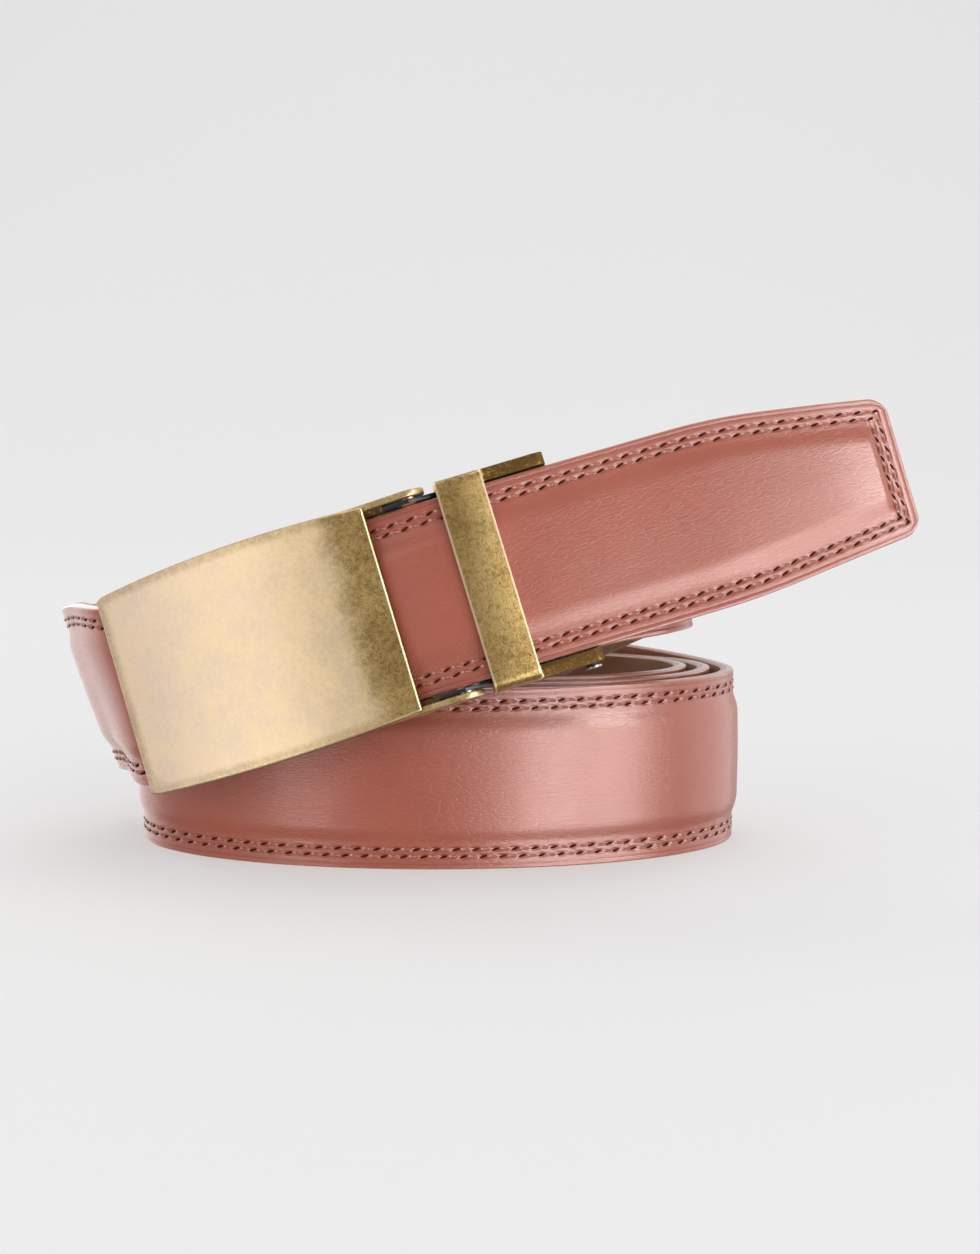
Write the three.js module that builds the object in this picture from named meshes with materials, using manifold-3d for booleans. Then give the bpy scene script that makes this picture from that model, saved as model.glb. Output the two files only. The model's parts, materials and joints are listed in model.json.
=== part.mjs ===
// A ratchet belt, fastened and stood on its edge. The strap is wound into a level coil, then
// leaves it as a slanting ring whose front runs through the buckle, and its end reaches out right.
// Millimetres, +Z up, X along the coil, the buckle faces -Y.
// In the buckle's own frames X runs along the strap to the right, Y to the back and Z across it.
import * as THREE from "three";
import { mergeVertices } from "three/addons/utils/BufferGeometryUtils.js";
import Module from "manifold-3d";

const wasm = await Module();
wasm.setup();

// The air between two pieces that touch on the real belt.
const clearance = 0.3;

// Strap
const strapWidth = 35;
const leatherThickness = 1.35;
const liningThickness = 1;
const liningInset = 0.35;
const paddingRise = 1.1;
const paddingMargin = 4.8;
const shoulderWidth = 2.6;
const shoulderShare = 0.8;
const edgeBevel = 0.35;
const tipTaperLength = 34;
const tipEndWidth = 26.5;
const tipCornerRadius = 3.6;

// Coil
const coilHalfLength = 61.3;
const coilHalfDepth = 36.75;
const layerPitch = 4.86;
const layerLift = 0.3;

// Ratchet track
const trackWidth = 12;
const trackBase = 0.7;
const toothHeight = 0.9;
const toothPitch = 5;
const toothValley = 1.6;
const toothFlank = 0.25;
const tipTeethCount = 14;
const ringTeethCount = 19;

// Buckle
const pinX = 1;
const pinY = -47;
const pinRise = 1.1;
const buckleSlopeDeg = 16.86;
const buckleLeanDeg = 9.7;
const plateYawDeg = 14;
const clampYawDeg = -4.3;
const tipYawDeg = -6;
const plateLength = 55.4;
const plateBow = 1.2;
const plateThickness = 1.8;
const plateBevel = 0.35;
const plateCurveRadius = 170;
const plateFront = 4.8;
const armReach = 8.2;
const armThickness = 0.8;
const armRadius = 3.3;
const armRootLength = 22;
const armDepth = 2;
const armKnee = 14;
const hingePinRadius = 1.6;
const rivetHeadHeight = 0.6;

// Clamp
const channelWall = 0.7;
const channelFloor = 1;
const channelFront = 1.1;
const channelStep = 2;
const earReach = 6.4;
const earFront = 2.6;
const channelStart = 3.2;
const clampLength = 26.3;
const keeperStart = 5.2;
const keeperWidth = 9;
const keeperThickness = 1.3;
const keeperBend = 1.8;
const cheekFront = 1.9;
const cheekBack = 7.6;
const lipBack = 2.8;
const cheekCorner = 1.6;
const jawThickness = 0.8;
const jawToothHeight = 0.25;
const jawToothCount = 6;
const jawStart = 6.2;
const jawLength = 15;
const jawRivetRadius = 1.1;
const jawRivetHeadRadius = 1.6;
const jawRivetInset = 1.9;
const jawRivetDepth = 5.4;
const cutEndStart = 5;
const clampedReach = 3;
const keeperStopInset = 1;

// Release lever and its housing
const housingLength = 25;
const housingDepth = 6.7;
const housingFloor = 0.7;
const leverPinRadius = 0.8;
const leverKnuckleRadius = 1.7;
const leverPinBack = 3.5;
const leverPinInset = 3.2;
const leverLength = 13;
const leverThickness = 1;
const leverHalfWidth = 15;
const leverToothWidth = 0.9;
const leverToothSink = 0.6;
const leverTabLength = 9;
const leverTabOverhang = 0.2;
const leverTabRoot = 1;
const leverKnuckleGap = 0.3;

// Fineness of the faceted surfaces
const stationStep = 9;
const stationTurnDeg = 9;
const twistWeight = 2;
const roundSides = 16;
const plateSteps = 14;
const cornerSteps = 5;
const denseSteps = 4000;
const midTension = 0.5;

const halfWidth = strapWidth / 2;
const pinZ = strapWidth + halfWidth + pinRise;
const leatherBack = -clearance / 2;
const leatherFront = leatherBack + leatherThickness;
const crownFront = leatherFront + paddingRise;
const liningFront = leatherBack - clearance;
const liningBack = liningFront - liningThickness;
const trackFront = liningBack - clearance;
const trackBack = trackFront - trackBase;
const toothBack = trackBack - toothHeight;
const wallInside = halfWidth + clearance;
const channelOutside = wallInside + channelWall;
const outerInside = channelOutside + clearance;
const armOutside = outerInside + armThickness;
const keeperOutside = outerInside + keeperThickness;
const keeperFront = crownFront + clearance + keeperThickness;
const jawFront = toothBack - clearance;
const jawBack = jawFront - jawThickness;
const clampedMiddle = jawBack - jawToothHeight - clearance - leatherFront;
const floorFront = clampedMiddle + liningBack - clearance;
const floorBack = floorFront - channelFloor;
const plateMiddle = -armReach - plateLength / 2;
const arcCentre = -Math.sqrt(plateCurveRadius ** 2 - (plateLength / 2) ** 2);
const leverPinX = -armReach - housingLength + leverPinInset;
const leverToothX = leverPinX + leverLength;
const leverEnd = leverToothX + leverToothWidth / 2;
const leverTop = leverPinBack - leverThickness / 2;
const leverBottom = leverPinBack + leverThickness / 2;
const jawRivetX = clampLength - jawRivetInset;

const radians = THREE.MathUtils.degToRad;
const vector = (x, y, z) => new THREE.Vector3(x, y, z);
const upright = vector(0, 0, 1);

// A frame has the strap's direction (along), its width (up) and the side that shows (out).
function squareFrame(origin, alongHint, upHint) {
  const along = alongHint.clone().normalize();
  const up = upHint.clone().addScaledVector(along, -upHint.dot(along));
  up.normalize();
  const out = along.clone().cross(up);
  return { origin, along, up, out };
}

function buckleUp() {
  const slope = radians(buckleSlopeDeg);
  const lean = radians(buckleLeanDeg);
  const rise = Math.cos(slope);
  return vector(-Math.sin(slope), rise * Math.sin(lean), rise * Math.cos(lean));
}

// The frame at the hinge pins, turned about them by a yaw that brings its right end forward.
function pinFrame(yawDeg) {
  const up = buckleUp();
  const front = vector(0, -1, 0).addScaledVector(up, up.y).normalize();
  const right = up.clone().cross(front);
  const yaw = radians(yawDeg);
  const along = right.multiplyScalar(Math.cos(yaw)).addScaledVector(front, Math.sin(yaw));
  return squareFrame(vector(pinX, pinY, pinZ), along, up);
}

function placeIn(frame, alongBy, outBy) {
  const point = frame.origin.clone();
  return point.addScaledVector(frame.along, alongBy).addScaledVector(frame.out, outBy);
}

const plateFrame = pinFrame(plateYawDeg);
const clampFrame = pinFrame(clampYawDeg);
const tipFrame = pinFrame(tipYawDeg);

// The plate's arc, and that of every layer behind it, at a place along the plate.
function arcOut(alongBy, offset) {
  const radius = plateCurveRadius + offset;
  return arcCentre + Math.sqrt(radius ** 2 - (alongBy - plateMiddle) ** 2);
}

// The strap's middle line, from its clamped end to its free end.
// Lengths are shares of the coil's half length and half depth, heights of the strap's width,
// and lean is a share of the buckle's own slant.
const highBend = [
  { x: 0.69, y: -0.925, height: 1.795, lean: 0.8 },
  { x: 0.765, y: -0.62, height: 1.81, lean: 0.4 },
];

// From the high bend down into the coil: turns about the coil's centre, and how many layers in.
const descent = [
  { turn: -0.04, inset: 2.65, height: 1.8 },
  { turn: 0.02, inset: 2.7, height: 1.76 },
  { turn: 0.08, inset: 2.68, height: 1.66 },
  { turn: 0.14, inset: 2.8, height: 1.49 },
  { turn: 0.2, inset: 2.64, height: 1.26 },
  { turn: 0.27, inset: 2.45, height: 0.97 },
  { turn: 0.35, inset: 2.25, height: 0.71 },
  { turn: 0.43, inset: 2.08, height: 0.555 },
];

// The ring's left bend.
const leftBend = [
  { x: -0.75, y: 0.83, height: 0.785, lean: 0.3 },
  { x: -1.045, y: 0.49, height: 0.85, lean: 0.8 },
  { x: -1.148, y: -0.08, height: 0.89, lean: 1.2 },
  { x: -1.075, y: -0.47, height: 0.94, lean: 1.4 },
];

// The level turns, then a share of one more, along the back, that climbs towards the left bend.
const layers = 3;
const coilStepsPerTurn = 20;
const climbStart = 3.02;
const climbEnd = 3.5;
const climbSampled = 3.3;
const climbShare = 0.36;

function coilPoint(turn, inset, height) {
  const angle = turn * 2 * Math.PI;
  const inwards = inset * layerPitch + leatherFront;
  const x = (coilHalfLength - inwards) * Math.cos(angle);
  const y = (coilHalfDepth - inwards) * Math.sin(angle);
  return vector(x, y, height * strapWidth);
}

function leanedUp(lean) {
  return upright.clone().lerp(buckleUp(), lean).normalize();
}

function freeRow(row) {
  const point = vector(row.x * coilHalfLength, row.y * coilHalfDepth, row.height * strapWidth);
  return { point, up: leanedUp(row.lean) };
}

function turnRow(row) {
  return { point: coilPoint(row.turn, row.inset, row.height), up: upright };
}

// Each layer keeps its distance along the front and steps outwards along the back.
function insetAt(turn) {
  const whole = Math.floor(turn);
  const backShare = Math.min((turn - whole) * 2, 1);
  const eased = THREE.MathUtils.smoothstep(backShare, 0, 1);
  return layers - whole - eased;
}

function coilRows() {
  const rows = [];
  const first = coilStepsPerTurn / 2;
  for (let step = first; step <= climbSampled * coilStepsPerTurn; step += 1) {
    const turn = step / coilStepsPerTurn;
    const inset = insetAt(turn);
    const lift = (Math.max(inset, 0) * layerLift) / strapWidth;
    const climb = climbShare * THREE.MathUtils.smoothstep(turn, climbStart, climbEnd);
    rows.push({ point: coilPoint(turn, inset, 0.5 + lift + climb), up: upright });
  }
  return rows;
}

// Within the buckle the strap follows the clamp, then the curve of the plate.
// The plate's stops are shares of its length, from its right end.
const clampStops = [cutEndStart, clampLength / 2, clampLength + clampedReach];
const plateStops = [-1, -0.75, -0.5, -0.25, -0.06];
const keeperStops = [keeperStart + keeperStopInset, keeperStart + keeperWidth + cheekCorner * 2];

// The free end sags back and down a little, in shares of the strap's width.
const freeEnd = [
  { along: 1.2, out: 0, down: 0 },
  { along: 1.7, out: -0.01, down: 0.003 },
  { along: 2.2, out: -0.055, down: 0.012 },
  { along: 2.63, out: -0.13, down: 0.022 },
];

function buckleRows() {
  const up = buckleUp();
  const rows = plateStops.map((share) => {
    const alongBy = share * plateLength - armReach;
    return { point: placeIn(plateFrame, alongBy, arcOut(alongBy, 0)), up };
  });
  keeperStops.forEach((stop) => rows.push({ point: placeIn(clampFrame, stop, 0), up }));
  freeEnd.forEach((row) => {
    const point = placeIn(tipFrame, row.along * strapWidth, row.out * strapWidth);
    rows.push({ point: point.addScaledVector(up, -row.down * strapWidth), up });
  });
  return rows;
}

function routeRows() {
  const clamped = clampStops.map((stop) => {
    return { point: placeIn(clampFrame, stop, clampedMiddle), up: buckleUp() };
  });
  return [
    ...clamped,
    ...highBend.map(freeRow),
    ...descent.map(turnRow),
    ...coilRows(),
    ...leftBend.map(freeRow),
    ...buckleRows(),
  ];
}

const rows = routeRows();
const points = rows.map((row) => row.point);
const ups = rows.map((row) => row.up);
const middleLine = new THREE.CatmullRomCurve3(points, false, "centripetal");
const upLine = new THREE.CatmullRomCurve3(ups, false, "catmullrom", midTension);

// Even samples of the whole route, each with its distance from the clamped end.
function denseRoute() {
  const samples = [];
  let distance = 0;
  for (let step = 0; step <= denseSteps; step += 1) {
    const t = step / denseSteps;
    const point = middleLine.getPoint(t);
    if (step) distance += point.distanceTo(samples[step - 1].origin);
    const frame = squareFrame(point, middleLine.getTangent(t), upLine.getPoint(t));
    samples.push({ ...frame, distance });
  }
  return samples;
}

const route = denseRoute();
const strapLength = route[denseSteps].distance;

// The route's frame at a distance from the clamped end.
function frameAt(distance) {
  let low = 0;
  let high = denseSteps;
  while (high - low > 1) {
    const middle = (low + high) >> 1;
    if (route[middle].distance <= distance) low = middle;
    else high = middle;
  }
  const before = route[low];
  const after = route[high];
  const share = (distance - before.distance) / (after.distance - before.distance);
  const origin = before.origin.clone().lerp(after.origin, share);
  const along = before.along.clone().lerp(after.along, share);
  const up = before.up.clone().lerp(after.up, share);
  return { ...squareFrame(origin, along, up), distance };
}

// Stations that are close in the bends and far apart on the straights.
function bendDistances(from, to) {
  const distances = [from];
  let last = frameAt(from);
  for (const sample of route) {
    if (sample.distance <= from || sample.distance >= to) continue;
    const twisted = last.up.angleTo(sample.up) * twistWeight;
    const turned = last.along.angleTo(sample.along) + twisted;
    const gone = sample.distance - last.distance;
    if (gone < stationStep && turned < radians(stationTurnDeg)) continue;
    distances.push(sample.distance);
    last = sample;
  }
  distances.push(to);
  return distances;
}

// A closed mesh through sections, each a loop of [across, out] places round its frame.
function sweep(frames, sectionOf) {
  const positions = [];
  const indices = [];
  let count = 0;
  frames.forEach((frame) => {
    const section = sectionOf(frame);
    count = section.length;
    section.forEach(([across, out]) => {
      const point = frame.origin.clone();
      point.addScaledVector(frame.up, across).addScaledVector(frame.out, out);
      positions.push(point.x, point.y, point.z);
    });
  });
  // A twisted side splits along the same diagonal on both faces of a sheet.
  const outline = sectionOf(frames[0]).map(([across, out]) => new THREE.Vector2(across, out));
  for (let ring = 0; ring < frames.length - 1; ring += 1) {
    for (let side = 0; side < count; side += 1) {
      const next = (side + 1) % count;
      const here = ring * count;
      const there = here + count;
      if (outline[side].x < outline[next].x) {
        indices.push(here + side, here + next, there + side);
        indices.push(here + next, there + next, there + side);
      } else {
        indices.push(here + side, here + next, there + next);
        indices.push(here + side, there + next, there + side);
      }
    }
  }
  const last = (frames.length - 1) * count;
  THREE.ShapeUtils.triangulateShape(outline, []).forEach(([a, b, c]) => {
    indices.push(c, b, a);
    indices.push(last + a, last + b, last + c);
  });
  const geometry = new THREE.BufferGeometry();
  geometry.setAttribute("position", new THREE.Float32BufferAttribute(positions, 3));
  geometry.setIndex(indices);
  return geometry;
}

// Half the strap's width, which tapers and rounds off towards its free end.
function halfWidthAt(distance) {
  const left = strapLength - distance;
  const share = Math.min(left / tipTaperLength, 1);
  const tapered = THREE.MathUtils.lerp(tipEndWidth / 2, halfWidth, share);
  if (left >= tipCornerRadius) return tapered;
  const short = tipCornerRadius - left;
  return tapered - tipCornerRadius + Math.sqrt(tipCornerRadius ** 2 - short ** 2);
}

// The padding ends inside the seams, also at both ends of the strap.
function paddingAt(distance) {
  const left = Math.min(strapLength - distance, distance - clampLength + cutEndStart);
  const full = paddingMargin + shoulderWidth;
  return paddingRise * THREE.MathUtils.smoothstep(left, paddingMargin, full);
}

function leatherSection(frame) {
  const half = halfWidthAt(frame.distance);
  const rise = paddingAt(frame.distance);
  const shoulder = half - paddingMargin;
  const crown = shoulder - shoulderWidth;
  const outline = [
    [half, leatherBack],
    [half, leatherFront - edgeBevel],
    [half - edgeBevel, leatherFront],
    [shoulder, leatherFront],
    [crown, leatherFront + rise * shoulderShare],
  ];
  const mirrored = outline.map(([across, out]) => [-across, out]).reverse();
  return [...outline, [0, leatherFront + rise], ...mirrored];
}

function liningSection(frame) {
  const half = halfWidthAt(frame.distance) - liningInset;
  return [
    [half, liningBack],
    [half, liningFront],
    [-half, liningFront],
    [-half, liningBack],
  ];
}

function tipDistances() {
  const extra = [];
  for (let step = 1; step <= cornerSteps; step += 1) {
    const angle = (step / cornerSteps) * (Math.PI / 2);
    extra.push(strapLength - tipCornerRadius * (1 - Math.sin(angle)));
  }
  return extra;
}

function strapFrames() {
  const paddingStart = clampLength - cutEndStart + paddingMargin;
  const marks = [paddingStart, paddingStart + shoulderWidth, strapLength - tipTaperLength];
  const body = bendDistances(0, strapLength - tipCornerRadius - shoulderWidth);
  const distances = [...body, ...marks, strapLength - tipCornerRadius, ...tipDistances()];
  distances.sort((a, b) => a - b);
  return distances.map(frameAt);
}

function makeLeather() {
  return sweep(strapFrames(), leatherSection);
}

function makeLining() {
  return sweep(strapFrames(), liningSection);
}

// Where along the route the strap passes a place along the plate.
function distanceAtPlate(alongBy) {
  const goal = placeIn(plateFrame, alongBy, arcOut(alongBy, 0));
  const nearest = route.reduce((best, sample) => {
    return sample.origin.distanceTo(goal) < best.origin.distanceTo(goal) ? sample : best;
  });
  return nearest.distance;
}

// Saw teeth along the lining, with a valley where the lever's tooth stands.
function makeTrack() {
  const leverDistance = distanceAtPlate(leverToothX);
  const ends = [];
  for (let tooth = -ringTeethCount; tooth < tipTeethCount; tooth += 1) {
    const start = leverDistance + tooth * toothPitch;
    ends.push([start - toothValley / 2, trackBack]);
    ends.push([start + toothValley / 2, trackBack]);
    ends.push([start + toothValley / 2 + toothFlank, toothBack]);
  }
  ends.push([leverDistance + tipTeethCount * toothPitch - toothValley / 2, trackBack]);
  const depths = new Map(ends);
  const frames = ends.map(([distance]) => frameAt(distance));
  return sweep(frames, (frame) => {
    const back = depths.get(frame.distance);
    return [
      [trackWidth / 2, back],
      [trackWidth / 2, trackFront],
      [-trackWidth / 2, trackFront],
      [-trackWidth / 2, back],
    ];
  });
}

// Solids that are joined or cut, and back to a geometry.
function solidOf(geometry) {
  const bare = geometry.index ? geometry.toNonIndexed() : geometry.clone();
  bare.deleteAttribute("normal");
  bare.deleteAttribute("uv");
  const merged = mergeVertices(bare);
  const vertProperties = merged.attributes.position.array;
  const triVerts = new Uint32Array(merged.index.array);
  return new wasm.Manifold(new wasm.Mesh({ numProp: 3, vertProperties, triVerts }));
}

function geometryOf(solid) {
  const mesh = solid.getMesh();
  const geometry = new THREE.BufferGeometry();
  geometry.setAttribute("position", new THREE.BufferAttribute(mesh.vertProperties, mesh.numProp));
  geometry.setIndex(new THREE.BufferAttribute(mesh.triVerts, 1));
  return geometry;
}

function joined(...geometries) {
  return geometryOf(geometries.map(solidOf).reduce((whole, piece) => whole.add(piece)));
}

// A flat outline, [along, back] places, made thick across the strap from one height to another.
function slab(shape, from, to) {
  const options = { depth: to - from, bevelEnabled: false, curveSegments: roundSides / 2 };
  return new THREE.ExtrudeGeometry(shape, options).translate(0, 0, from);
}

// A block between two places on each axis.
function block([x0, x1], [y0, y1], [z0, z1]) {
  const box = new THREE.BoxGeometry(x1 - x0, y1 - y0, z1 - z0);
  return box.translate((x0 + x1) / 2, (y0 + y1) / 2, (z0 + z1) / 2);
}

function hole(x, y, radius) {
  const path = new THREE.Path();
  path.absarc(x, y, radius, 0, 2 * Math.PI, false);
  return path;
}

function pin(radius, from, to, x, y) {
  const cylinder = new THREE.CylinderGeometry(radius, radius, to - from, roundSides);
  return cylinder.rotateX(Math.PI / 2).translate(x, y, (from + to) / 2);
}

// The face: a curved plate whose long edges bow outwards from its arms, with small bevels.
function plateSection(frame) {
  const half = frame.half;
  const front = plateFront - frame.bevel;
  const back = plateFront - plateThickness;
  return [
    [half, back],
    [half, front - plateBevel],
    [half - plateBevel, front],
    [-half + plateBevel, front],
    [-half, front - plateBevel],
    [-half, back],
  ];
}

function plateFrames() {
  const frames = [];
  const endAngle = Math.asin(plateLength / 2 / (plateCurveRadius + plateFront));
  const bevelShare = plateBevel / (plateLength / 2);
  const shares = [];
  for (let step = 0; step <= plateSteps; step += 1) shares.push((step / plateSteps) * 2 - 1);
  shares.splice(1, 0, bevelShare - 1);
  shares.splice(shares.length - 1, 0, 1 - bevelShare);
  shares.forEach((share) => {
    const angle = share * endAngle;
    const along = vector(Math.cos(angle), Math.sin(angle), 0);
    const radius = plateCurveRadius;
    const x = plateMiddle + radius * Math.sin(angle);
    const out = arcCentre + radius * Math.cos(angle);
    const frame = squareFrame(vector(x, -out, 0), along, upright);
    const bevel = Math.abs(share) === 1 ? plateBevel : 0;
    const half = armOutside + plateBow * (1 - share ** 2) - bevel / 2;
    frames.push({ ...frame, half, bevel });
  });
  return frames;
}

// An arm runs back along the plate's edge and out to the hinge pin, where it is round.
function armShape() {
  const root = -armReach - armRootLength;
  const shape = new THREE.Shape();
  const rootFront = plateFront - plateThickness / 2;
  shape.moveTo(root, -arcOut(root, rootFront));
  shape.lineTo(root + armDepth, armDepth);
  shape.lineTo(-armKnee, armDepth);
  shape.lineTo(-armReach, armRadius);
  shape.lineTo(0, armRadius);
  shape.absarc(0, 0, armRadius, Math.PI / 2, -Math.PI / 2, true);
  shape.lineTo(-armReach, -arcOut(-armReach, rootFront));
  shape.lineTo((root - armReach) / 2, -arcOut((root - armReach) / 2, rootFront));
  shape.holes.push(hole(0, 0, hingePinRadius + clearance / 2));
  return shape;
}

function makePlate() {
  const face = sweep(plateFrames(), plateSection);
  const upper = slab(armShape(), outerInside, armOutside);
  const lower = slab(armShape(), -armOutside, -outerInside);
  return joined(face, upper, lower);
}

// The housing behind the plate: a floor and two walls, the lower one slotted for the lever.
const housingRight = -armReach - clearance;
const housingLeft = housingRight - housingLength;
const housingFloorFront = housingDepth - housingFloor;

function housingWall() {
  const middle = (housingLeft + housingRight) / 2;
  const front = (x) => -arcOut(x, plateFront - plateThickness - clearance);
  const shape = new THREE.Shape();
  shape.moveTo(housingLeft, front(housingLeft));
  shape.lineTo(housingLeft, housingDepth);
  shape.lineTo(housingRight, housingDepth);
  shape.lineTo(housingRight, front(housingRight));
  shape.lineTo(middle, front(middle));
  shape.holes.push(hole(leverPinX, leverPinBack, leverPinRadius + clearance / 2));
  return shape;
}

function leverSlot() {
  const x0 = leverPinX + leverKnuckleRadius + leverKnuckleGap;
  const x1 = leverEnd + 2 * clearance;
  const y0 = leverTop - 2 * clearance;
  return new THREE.Path([
    new THREE.Vector2(x0, y0),
    new THREE.Vector2(x1, y0),
    new THREE.Vector2(x1, housingFloorFront),
    new THREE.Vector2(x0, housingFloorFront),
  ]);
}

function makeHousing() {
  const lowerWall = housingWall();
  lowerWall.holes.push(leverSlot());
  const length = [housingLeft, housingRight];
  const depth = [housingFloorFront, housingDepth];
  return joined(
    slab(housingWall(), wallInside, channelOutside),
    slab(lowerWall, -channelOutside, -wallInside),
    block(length, depth, [-channelOutside, channelOutside]),
  );
}

// The lever: a knuckle on its pin, a flat arm, a tooth in the track and a tab below the plate.
function leverArm() {
  const meets = Math.asin(leverThickness / 2 / leverKnuckleRadius);
  const turn = 2 * Math.PI;
  const shape = new THREE.Shape();
  shape.absarc(leverPinX, leverPinBack, leverKnuckleRadius, meets, turn - meets, false);
  shape.lineTo(leverEnd, leverTop);
  shape.lineTo(leverEnd, leverBottom);
  shape.holes.push(hole(leverPinX, leverPinBack, leverPinRadius + clearance / 2));
  return shape;
}

function makeLever() {
  const toothTip = -arcOut(leverToothX, toothBack) - leverToothSink;
  const tooth = [leverEnd - leverToothWidth, leverEnd];
  const tab = [leverEnd - leverTabLength, leverEnd];
  const tabEnd = armOutside + leverTabOverhang;
  return joined(
    slab(leverArm(), -leverHalfWidth, leverHalfWidth),
    block(tooth, [toothTip, leverBottom], [-trackWidth / 2, trackWidth / 2]),
    block(tab, [leverTop, leverBottom], [-tabEnd, leverTabRoot - leverHalfWidth]),
  );
}

function makeLeverPin() {
  return pin(leverPinRadius, -channelOutside, channelOutside, leverPinX, leverPinBack);
}

// A hinge pin ends flush with the arm and reaches through the channel's ear.
function makeHingePin(side) {
  const geometry = pin(hingePinRadius, wallInside, armOutside, 0, 0);
  return side > 0 ? geometry : geometry.rotateX(Math.PI);
}

// The channel: a floor behind the clamped strap, and walls that end in ears on the hinge pins.
function channelWallShape() {
  const back = -floorBack;
  const shape = new THREE.Shape();
  const stepX = keeperStart + channelStep;
  shape.moveTo(stepX, -channelFront);
  shape.lineTo(stepX, lipBack + clearance);
  shape.lineTo(clampLength, lipBack + clearance);
  shape.lineTo(clampLength, back);
  shape.lineTo(channelStart, back);
  shape.lineTo(0, armRadius);
  shape.lineTo(-earReach, armRadius);
  shape.lineTo(-earReach, -channelFront);
  shape.lineTo(0, -earFront);
  shape.lineTo(channelStart, -channelFront);
  shape.holes.push(hole(0, 0, hingePinRadius + clearance / 2));
  shape.holes.push(hole(jawRivetX, jawRivetDepth, jawRivetRadius + clearance / 2));
  return shape;
}

function makeChannel() {
  const length = [channelStart, clampLength];
  return joined(
    slab(channelWallShape(), wallInside, channelOutside),
    slab(channelWallShape(), -channelOutside, -wallInside),
    block(length, [-floorFront, -floorBack], [-channelOutside, channelOutside]),
  );
}

// The keeper: a bar over the strap whose ends bend back into two cheeks outside the channel.
function keeperBar() {
  const inner = outerInside;
  const shape = new THREE.Shape();
  const back = -cheekFront;
  const front = -keeperFront;
  const innerFront = front + keeperThickness;
  const bendX = keeperOutside - keeperBend;
  const bendY = front + keeperBend;
  shape.moveTo(-keeperOutside, back);
  shape.lineTo(-keeperOutside, bendY);
  shape.absarc(-bendX, bendY, keeperBend, Math.PI, 1.5 * Math.PI);
  shape.absarc(bendX, bendY, keeperBend, 1.5 * Math.PI, 0);
  shape.lineTo(keeperOutside, back);
  shape.lineTo(inner, back);
  shape.lineTo(inner, innerFront);
  shape.lineTo(-inner, innerFront);
  shape.lineTo(-inner, back);
  const bar = slab(shape, 0, keeperWidth);
  const toBuckle = new THREE.Matrix4().makeBasis(upright, vector(0, 1, 0), vector(-1, 0, 0));
  return bar.applyMatrix4(toBuckle).translate(keeperStart + keeperWidth, 0, 0);
}

// The rounded front corner at a cheek's right end.
function cheekFrontCorner(shape) {
  const x = clampLength - cheekCorner;
  const y = cheekCorner - cheekFront;
  shape.lineTo(x, -cheekFront);
  shape.absarc(x, y, cheekCorner, -Math.PI / 2, 0, false);
}

function cheekShape() {
  const shape = new THREE.Shape();
  const barEnd = keeperStart + keeperWidth;
  shape.moveTo(keeperStart, -cheekFront - clearance);
  shape.lineTo(barEnd, -cheekFront - clearance);
  shape.lineTo(barEnd, -cheekFront);
  cheekFrontCorner(shape);
  shape.lineTo(clampLength, cheekBack);
  shape.lineTo(keeperStart, cheekBack);
  shape.holes.push(hole(jawRivetX, jawRivetDepth, jawRivetRadius + clearance / 2));
  return shape;
}

// Beside the strap the cheeks are thicker, as lips that guide its edges.
function lipShape() {
  const start = keeperStart + channelStep + clearance;
  const shape = new THREE.Shape();
  shape.moveTo(start, lipBack);
  shape.lineTo(start, -cheekFront);
  cheekFrontCorner(shape);
  shape.lineTo(clampLength, lipBack);
  return shape;
}

function makeKeeper() {
  const overlap = keeperThickness / 2;
  return joined(
    keeperBar(),
    slab(cheekShape(), outerInside, keeperOutside),
    slab(cheekShape(), -keeperOutside, -outerInside),
    slab(lipShape(), wallInside, outerInside + overlap),
    slab(lipShape(), -outerInside - overlap, -wallInside),
  );
}

// The jaw: a plate whose saw teeth face the clamped strap.
function makeJaw() {
  const shape = new THREE.Shape();
  const pitch = jawLength / jawToothCount;
  shape.moveTo(jawStart, -jawFront);
  for (let tooth = 0; tooth < jawToothCount; tooth += 1) {
    const x = jawStart + tooth * pitch;
    shape.lineTo(x, -jawBack);
    shape.lineTo(x + pitch / 2, -jawBack + jawToothHeight);
  }
  shape.lineTo(jawStart + jawLength, -jawBack);
  shape.lineTo(jawStart + jawLength, -jawFront);
  return slab(shape, -halfWidth, halfWidth);
}

function makeJawRivet(side) {
  const head = keeperOutside + clearance;
  const end = head + rivetHeadHeight;
  const shank = pin(jawRivetRadius, wallInside, end, jawRivetX, jawRivetDepth);
  const cap = pin(jawRivetHeadRadius, head, end, jawRivetX, jawRivetDepth);
  const geometry = joined(shank, cap);
  return side > 0 ? geometry : geometry.rotateX(Math.PI).translate(0, 2 * jawRivetDepth, 0);
}

// Materials
function finish(color, roughness, metalness) {
  return new THREE.MeshStandardMaterial({ color, roughness, metalness });
}

const leatherFinish = finish(0xb26450, 0.45, 0);
const liningFinish = finish(0x4a3427, 0.7, 0);
const trackPlastic = finish(0x1d1c1b, 0.5, 0);
const brass = finish(0x9a8350, 0.38, 1);
const darkSteel = finish(0x33383a, 0.4, 1);
const brightSteel = finish(0xb9bcbd, 0.25, 1);

function named(name, geometry, material) {
  const mesh = new THREE.Mesh(geometry, material);
  mesh.name = name;
  return mesh;
}

function groupIn(frame, ...meshes) {
  const group = new THREE.Group();
  const back = frame.out.clone().negate();
  const basis = new THREE.Matrix4().makeBasis(frame.along, back, frame.up);
  group.quaternion.setFromRotationMatrix(basis);
  group.position.copy(frame.origin);
  group.add(...meshes);
  return group;
}

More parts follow.
